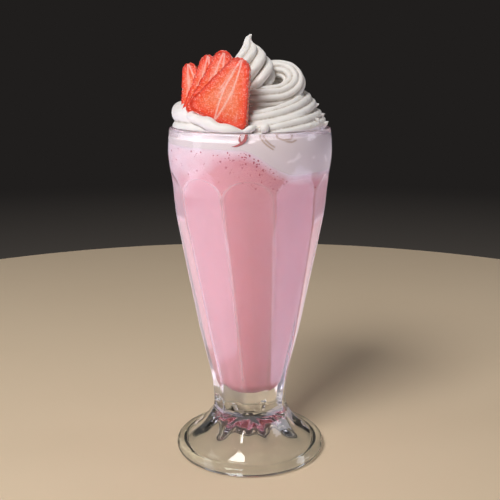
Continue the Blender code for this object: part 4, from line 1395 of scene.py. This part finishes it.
def berry_outline(length, width):
    """A strawberry's outline cut lengthwise, with Y from its cut top at 0 to its tip, evenly spaced.

    It runs round three circles, two at the corners of the cut top and one at the tip.
    """
    corner = width * CORNER_SHARE
    tip = width * TIP_SHARE
    circles = (
        (-width / 2 + corner, corner, corner),
        (width / 2 - corner, corner, corner),
        (0.0, length - tip, tip),
    )
    dense = []
    count = OUTLINE_DETAIL * SLICE_COLUMNS
    for k in range(count):
        angle = 2 * math.pi * (k + 0.5) / count
        c, s = math.cos(angle), math.sin(angle)
        x, y, radius = max(circles, key=lambda circle: circle[0] * c + circle[1] * s + circle[2])
        dense.append((x + radius * c, y + radius * s))
    dense = np.array(dense + dense[:1])
    steps = np.hypot(*np.diff(dense, axis=0).T)
    travel = np.concatenate(([0.0], np.cumsum(steps)))
    even = np.linspace(0, travel[-1], SLICE_COLUMNS, endpoint=False)
    outline = np.column_stack([np.interp(even, travel, dense[:, k]) for k in (0, 1)])
    return outline, even, travel[-1]


def slice_frame(tip_right, tip_up, depth, lean, length):
    """Where a slice stands: X across it, Y from its cut top to its tip, Z out of its face."""
    right = Vector((math.cos(FAN_YAW), -math.sin(FAN_YAW), 0))
    level_back = Vector((math.sin(FAN_YAW), math.cos(FAN_YAW), 0))
    up = level_back * math.sin(FAN_TILT) + Vector((0, 0, math.cos(FAN_TILT)))
    back = level_back * math.cos(FAN_TILT) - Vector((0, 0, math.sin(FAN_TILT)))
    tip = FAN_FOOT + right * tip_right + up * tip_up + back * depth
    turn = math.radians(lean)
    along = right * math.sin(turn) + up * math.cos(turn)
    across = right * math.cos(turn) - up * math.sin(turn)
    place = Matrix((across, along, -back)).transposed().to_4x4()
    place.translation = tip - along * length
    return place


def slice_rings(thickness):
    """The rings of a slice from the middle of its face over its skin to the middle of its back.

    Each ring is its share of the outline and its height over the slice's middle plane.
    """
    half = thickness / 2
    flat = half - SLICE_CHAMFER
    face = [(k / FACE_RINGS, half) for k in range(1, FACE_RINGS)]
    bend = [
        (1 - BEND_INSET * (1 - math.sin(a)), half - SLICE_CHAMFER * (1 - math.cos(a)))
        for a in BEND_TURNS]
    wall = [(1.0, flat * k / WALL_RINGS) for k in range(WALL_RINGS - 1, -WALL_RINGS, -1)]
    bend_back = [(share, -z) for share, z in bend[::-1]]
    back = [(k / BACK_RINGS, -half) for k in range(BACK_RINGS - 1, 0, -1)]
    return face + bend + wall + bend_back + back


def pits_on(perimeter, number):
    """Places of a slice's seeds along its outline and across its skin, and how deep each lies."""
    draw = random.Random(PIT_SEED + number)
    count = int(perimeter / PIT_SPACING)
    pits = []
    for k in range(count):
        along = (k + draw.uniform(-PIT_STRAY, PIT_STRAY)) * perimeter / count
        off_middle = draw.uniform(-PIT_OFF_MIDDLE, PIT_OFF_MIDDLE)
        pits.append((along, off_middle, draw.uniform(*PIT_DEEP)))
    return pits


def build_slice(number, sizes, settings):
    """A slice made of rings of its outline that grow over its face, cross its skin and close behind."""
    tip_right, tip_up, depth, lean, length, width, thickness = sizes
    outline, travel, perimeter = berry_outline(length, width)
    middle = (0.0, length * SLICE_MIDDLE)
    rings = slice_rings(thickness)
    deselect()
    bpy.ops.mesh.primitive_circle_add(vertices=SLICE_COLUMNS, radius=1)
    berry = bpy.context.object
    first, first_height = rings[0]
    ring = middle + (outline - middle) * first
    set_points(berry.data, np.column_stack((ring, np.full(SLICE_COLUMNS, first_height))))
    edit(berry)
    for (s0, z0), (s1, z1) in zip(rings, rings[1:]):
        bpy.ops.mesh.extrude_edges_move(TRANSFORM_OT_translate={"value": (0, 0, z1 - z0)})
        bpy.ops.transform.resize(value=(s1 / s0, s1 / s0, 1), center_override=(*middle, z1))
    bpy.ops.mesh.edge_face_add()
    finish_edit()
    points = points_of(berry.data)
    order = np.arange(len(points))
    column = order % SLICE_COLUMNS
    share = np.array([s for s, _ in rings])[order // SLICE_COLUMNS]
    sink = np.zeros(len(points))
    for along, z, deep in pits_on(perimeter, number):
        gap = np.abs(travel[column] - along)
        gap = np.minimum(gap, perimeter - gap)
        oval = (gap / PIT_WIDTH) ** 2 + ((points[:, 2] - z) / PIT_ACROSS) ** 2
        sink = np.maximum(sink, deep * np.exp(-oval))
    sink *= ease((points[:, 1] / length - PIT_FROM) / PIT_FROM_BLEND)
    sink *= ease((share - PIT_SKIN) / PIT_SKIN_BLEND)
    inward = np.column_stack((points[:, :2] - middle, np.zeros(len(points))))
    inward /= np.maximum(np.linalg.norm(inward, axis=1), TINY)[:, None]
    shaped = points - inward * (sink * settings.pit_depth)[:, None]
    grain = points * RELIEF_SCALE + (number * RELIEF_STEP, 0, 0)
    sunk = FACE_SINK + FACE_RELIEF * np.array([noise.noise(Vector(place)) for place in grain])
    shaped[:, 2] -= np.sign(points[:, 2]) * sunk * (share < FACE_SHARE)
    set_points(berry.data, shaped)
    set_values(berry.data, "share", share - PIT_TONE * sink)
    set_values(berry.data, "across", points[:, 0])
    set_values(berry.data, "down", length - points[:, 1])
    set_values(berry.data, "rise", points[:, 1] / length)
    set_values(berry.data, "pit", sink)
    edit(berry)
    bpy.ops.mesh.select_all(action="DESELECT")
    bpy.ops.mesh.select_non_manifold()
    bpy.ops.mesh.edge_face_add()
    bpy.ops.mesh.select_all(action="SELECT")
    bpy.ops.mesh.normals_make_consistent(inside=False)
    finish_edit()
    bpy.ops.object.shade_smooth()
    berry.matrix_world = slice_frame(tip_right, tip_up, depth, lean, length)
    settle(berry)
    berry.name = "berry_slice_%d" % (number + 1)
    berry.data.name = berry.name
    return berry


def seed_frames(number, sizes, settings):
    """Where a slice's seeds lie: in the pits of its skin, pointing to its tip."""
    tip_right, tip_up, depth, lean, length, width, _ = sizes
    outline, _, perimeter = berry_outline(length, width)
    place = slice_frame(tip_right, tip_up, depth, lean, length)
    middle = np.array((0.0, length * SLICE_MIDDLE))
    frames = []
    for along, z, deep in pits_on(perimeter, number):
        k = int(round(along / perimeter * SLICE_COLUMNS)) % SLICE_COLUMNS
        point = outline[k]
        if point[1] < SEED_FROM * length:
            continue
        out = point - middle
        out /= np.linalg.norm(out)
        spot = point - out * (settings.pit_depth * deep + SEED_SINK)
        ahead = outline[(k + 1) % SLICE_COLUMNS] - outline[k - 1]
        ahead /= np.linalg.norm(ahead)
        if ahead[1] < 0:
            ahead = -ahead
        x_axis = Vector((*ahead, 0))
        z_axis = Vector((ahead[1], -ahead[0], 0))
        y_axis = z_axis.cross(x_axis)
        local = Matrix((x_axis, y_axis, z_axis)).transposed().to_4x4()
        local.translation = (*spot, z)
        frames.append(place @ local)
    return frames


class MILKSHAKE_OT_slices(bpy.types.Operator):
    """Model the four strawberry slices with pitted skin and veined flesh"""

    bl_idname = "milkshake.slices"
    bl_label = "Strawberry slices"

    def execute(self, context):
        settings = context.scene.milkshake_berry
        flesh = strawberry_flesh(settings)
        skin = strawberry_skin(settings)
        for number, sizes in enumerate(SLICES):
            berry = build_slice(number, sizes, settings)
            berry.data.materials.append(flesh)
            berry.data.materials.append(skin)
            share = berry.data.attributes["share"].data
            for polygon in berry.data.polygons:
                if min(share[v].value for v in polygon.vertices) > SKIN_SHARE:
                    polygon.material_index = 1
            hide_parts("strawberry_slice_%d" % (number + 1))
            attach(berry, BODY)
        return {"FINISHED"}


class MILKSHAKE_OT_seeds(bpy.types.Operator):
    """Set seeds in the pits of the strawberry skin"""

    bl_idname = "milkshake.seeds"
    bl_label = "Strawberry seeds"

    def execute(self, context):
        settings = context.scene.milkshake_berry
        frames = []
        for number, sizes in enumerate(SLICES):
            frames += seed_frames(number, sizes, settings)
        deselect()
        bpy.ops.mesh.primitive_ico_sphere_add(subdivisions=2, radius=1)
        seed = bpy.context.object
        points = points_of(seed.data)
        # A drop shape, 1.3 mm long, 0.8 mm wide and 0.5 mm thick, narrower to one end.
        points[:, 1] *= 1 - SEED_TAPER * points[:, 0]
        set_points(seed.data, points * SEED_SIZE)
        seeds = scatter("strawberry_seeds", seed, frames)
        seeds.data.materials.append(seed_husk(settings))
        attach(seeds, BODY)
        return {"FINISHED"}


class MILKSHAKE_OT_juice(bpy.types.Operator):
    """Lay the curl of pulp and juice under the first slice, against the glass"""

    bl_idname = "milkshake.juice"
    bl_label = "Juice"

    def execute(self, context):
        settings = context.scene.milkshake_berry
        strands = []
        for path in JUICE_STRANDS:
            points = [(*wall_point(x, z, JUICE_REACH), radius) for x, z, radius in path]
            strands.append(rope("strand", points))
        juice = join("berry_juice", strands)
        apply_modifier(juice, "REMESH", mode="VOXEL", voxel_size=JUICE_VOXEL, use_smooth_shade=True)
        apply_modifier(juice, "SMOOTH", factor=SMOOTHING, iterations=SMOOTHING_ROUNDS)
        juice.data.materials.clear()
        juice.data.materials.append(berry_pulp("berry_juice", settings.juice_colour, settings.juice_dark))
        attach(juice, BODY)
        return {"FINISHED"}


def aim(thing, target):
    """Turn a lamp so that it shines at a point."""
    thing.rotation_euler = (Vector(target) - thing.location).to_track_quat("-Z", "Y").to_euler()


def soft_box(name, place, target, size, power, colour):
    """A rectangular soft light that shines at a target, as an object."""
    lamp = bpy.data.lights.new(name, "AREA")
    lamp.shape = "RECTANGLE"
    lamp.size, lamp.size_y = size
    lamp.energy = power
    lamp.color = linear(colour)
    thing = bpy.data.objects.new(name, lamp)
    thing.location = place
    bpy.context.scene.collection.objects.link(thing)
    aim(thing, target)
    return thing


def studio_world():
    """A plain room: dark behind at eye level, paler low down at both sides and lighter above."""
    world = bpy.data.worlds.new("studio")
    world.use_nodes = True
    tree = world.node_tree
    tree.nodes.clear()
    way = node(tree, "ShaderNodeTexCoord")
    split = node(tree, "ShaderNodeSeparateXYZ", {0: way.outputs["Generated"]})
    rise = node(tree, "ShaderNodeMapRange", {
        "Value": split.outputs["Z"], "From Min": -1.0, "From Max": 1.0})
    tone = node(tree, "ShaderNodeValToRGB", {"Fac": rise.outputs["Result"]}, ramp=[
        (height, linear(code)) for height, code in ROOM_TONES])
    aside = node(tree, "ShaderNodeMath", {0: split.outputs["X"]}, operation="ABSOLUTE")
    beside = node(tree, "ShaderNodeMapRange", {
        "Value": aside.outputs[0], "From Min": SIDES_FROM, "From Max": SIDES_FULL},
        interpolation_type="SMOOTHSTEP")
    below = node(tree, "ShaderNodeMapRange", {
        "Value": split.outputs["Z"], "From Min": 0.0, "From Max": SIDES_DROP},
        interpolation_type="SMOOTHSTEP")
    both = node(tree, "ShaderNodeMath", {
        0: beside.outputs["Result"], 1: below.outputs["Result"]}, operation="MULTIPLY")
    sides = node(tree, "ShaderNodeMix", {
        0: both.outputs[0], 6: tone.outputs["Color"], 7: rgba(linear(ROOM_SIDES))},
        data_type="RGBA")
    light = node(tree, "ShaderNodeBackground", {"Color": sides.outputs[2], "Strength": 1.0})
    output = node(tree, "ShaderNodeOutputWorld", {"Surface": light.outputs[0]})
    output.is_active_output = True
    bpy.context.scene.world = world


class MILKSHAKE_OT_stage(bpy.types.Operator):
    """Set the pale table, the soft light and the camera"""

    bl_idname = "milkshake.stage"
    bl_label = "Stage"

    def execute(self, context):
        settings = context.scene.milkshake_stage
        deselect()
        bpy.ops.mesh.primitive_circle_add(vertices=128, radius=settings.table_radius, fill_type="NGON")
        table = bpy.context.object
        table.name = "table_top"
        table.data.materials.append(pale_table(settings))
        for name, power, place, target, size, colour in LAMPS:
            soft_box(name, place, target, size, getattr(settings, power), colour)
        for name, place, share, size, colour in LOW_BOXES:
            box = soft_box(name, place, (*place[:2], 1), size, settings.low * share, colour)
            box.visible_camera = False
            box.visible_diffuse = name == LOW_BOXES[0][0]
        studio_world()
        context.scene.view_settings.view_transform = "Standard"
        camera = bpy.data.objects.new("camera", bpy.data.cameras.new("camera"))
        camera.data.lens = CAMERA_LENS
        camera.data.sensor_width = SENSOR
        camera.location = (0, -CAMERA_BACK, CAMERA_HEIGHT)
        camera.rotation_euler = (math.pi / 2 - CAMERA_DOWN, 0, 0)
        context.scene.collection.objects.link(camera)
        context.scene.camera = camera
        return {"FINISHED"}


OPERATORS = (
    MILKSHAKE_OT_glass,
    MILKSHAKE_OT_drink,
    MILKSHAKE_OT_specks,
    MILKSHAKE_OT_cream,
    MILKSHAKE_OT_slices,
    MILKSHAKE_OT_seeds,
    MILKSHAKE_OT_juice,
    MILKSHAKE_OT_stage,
)
SETTINGS = {
    "milkshake_glass": GlassSettings,
    "milkshake_drink": DrinkSettings,
    "milkshake_cream": CreamSettings,
    "milkshake_berry": BerrySettings,
    "milkshake_stage": StageSettings,
}


class MILKSHAKE_PT_pieces(bpy.types.Panel):
    """The pieces of the milkshake and their settings"""

    bl_idname = "MILKSHAKE_PT_pieces"
    bl_label = "Milkshake"
    bl_space_type = "VIEW_3D"
    bl_region_type = "UI"
    bl_category = "Milkshake"

    def draw(self, context):
        layout = self.layout
        for group in SETTINGS:
            box = layout.box()
            box.label(text=group.replace("milkshake_", "").capitalize())
            values = getattr(context.scene, group)
            for key in values.bl_rna.properties.keys():
                if key not in ("rna_type", "name"):
                    box.prop(values, key)
        for operator in OPERATORS:
            layout.operator(operator.bl_idname)


def register():
    for name, group in SETTINGS.items():
        bpy.utils.register_class(group)
        setattr(bpy.types.Scene, name, bpy.props.PointerProperty(type=group))
    for operator in OPERATORS:
        bpy.utils.register_class(operator)
    bpy.utils.register_class(MILKSHAKE_PT_pieces)


def unregister():
    bpy.utils.unregister_class(MILKSHAKE_PT_pieces)
    for operator in reversed(OPERATORS):
        bpy.utils.unregister_class(operator)
    for name, group in SETTINGS.items():
        delattr(bpy.types.Scene, name)
        bpy.utils.unregister_class(group)


def main():
    register()
    bpy.ops.milkshake.glass()
    bpy.ops.milkshake.drink()
    bpy.ops.milkshake.specks()
    bpy.ops.milkshake.cream()
    bpy.ops.milkshake.slices()
    bpy.ops.milkshake.seeds()
    bpy.ops.milkshake.juice()
    bpy.ops.milkshake.stage()


if __name__ == "__main__":
    main()
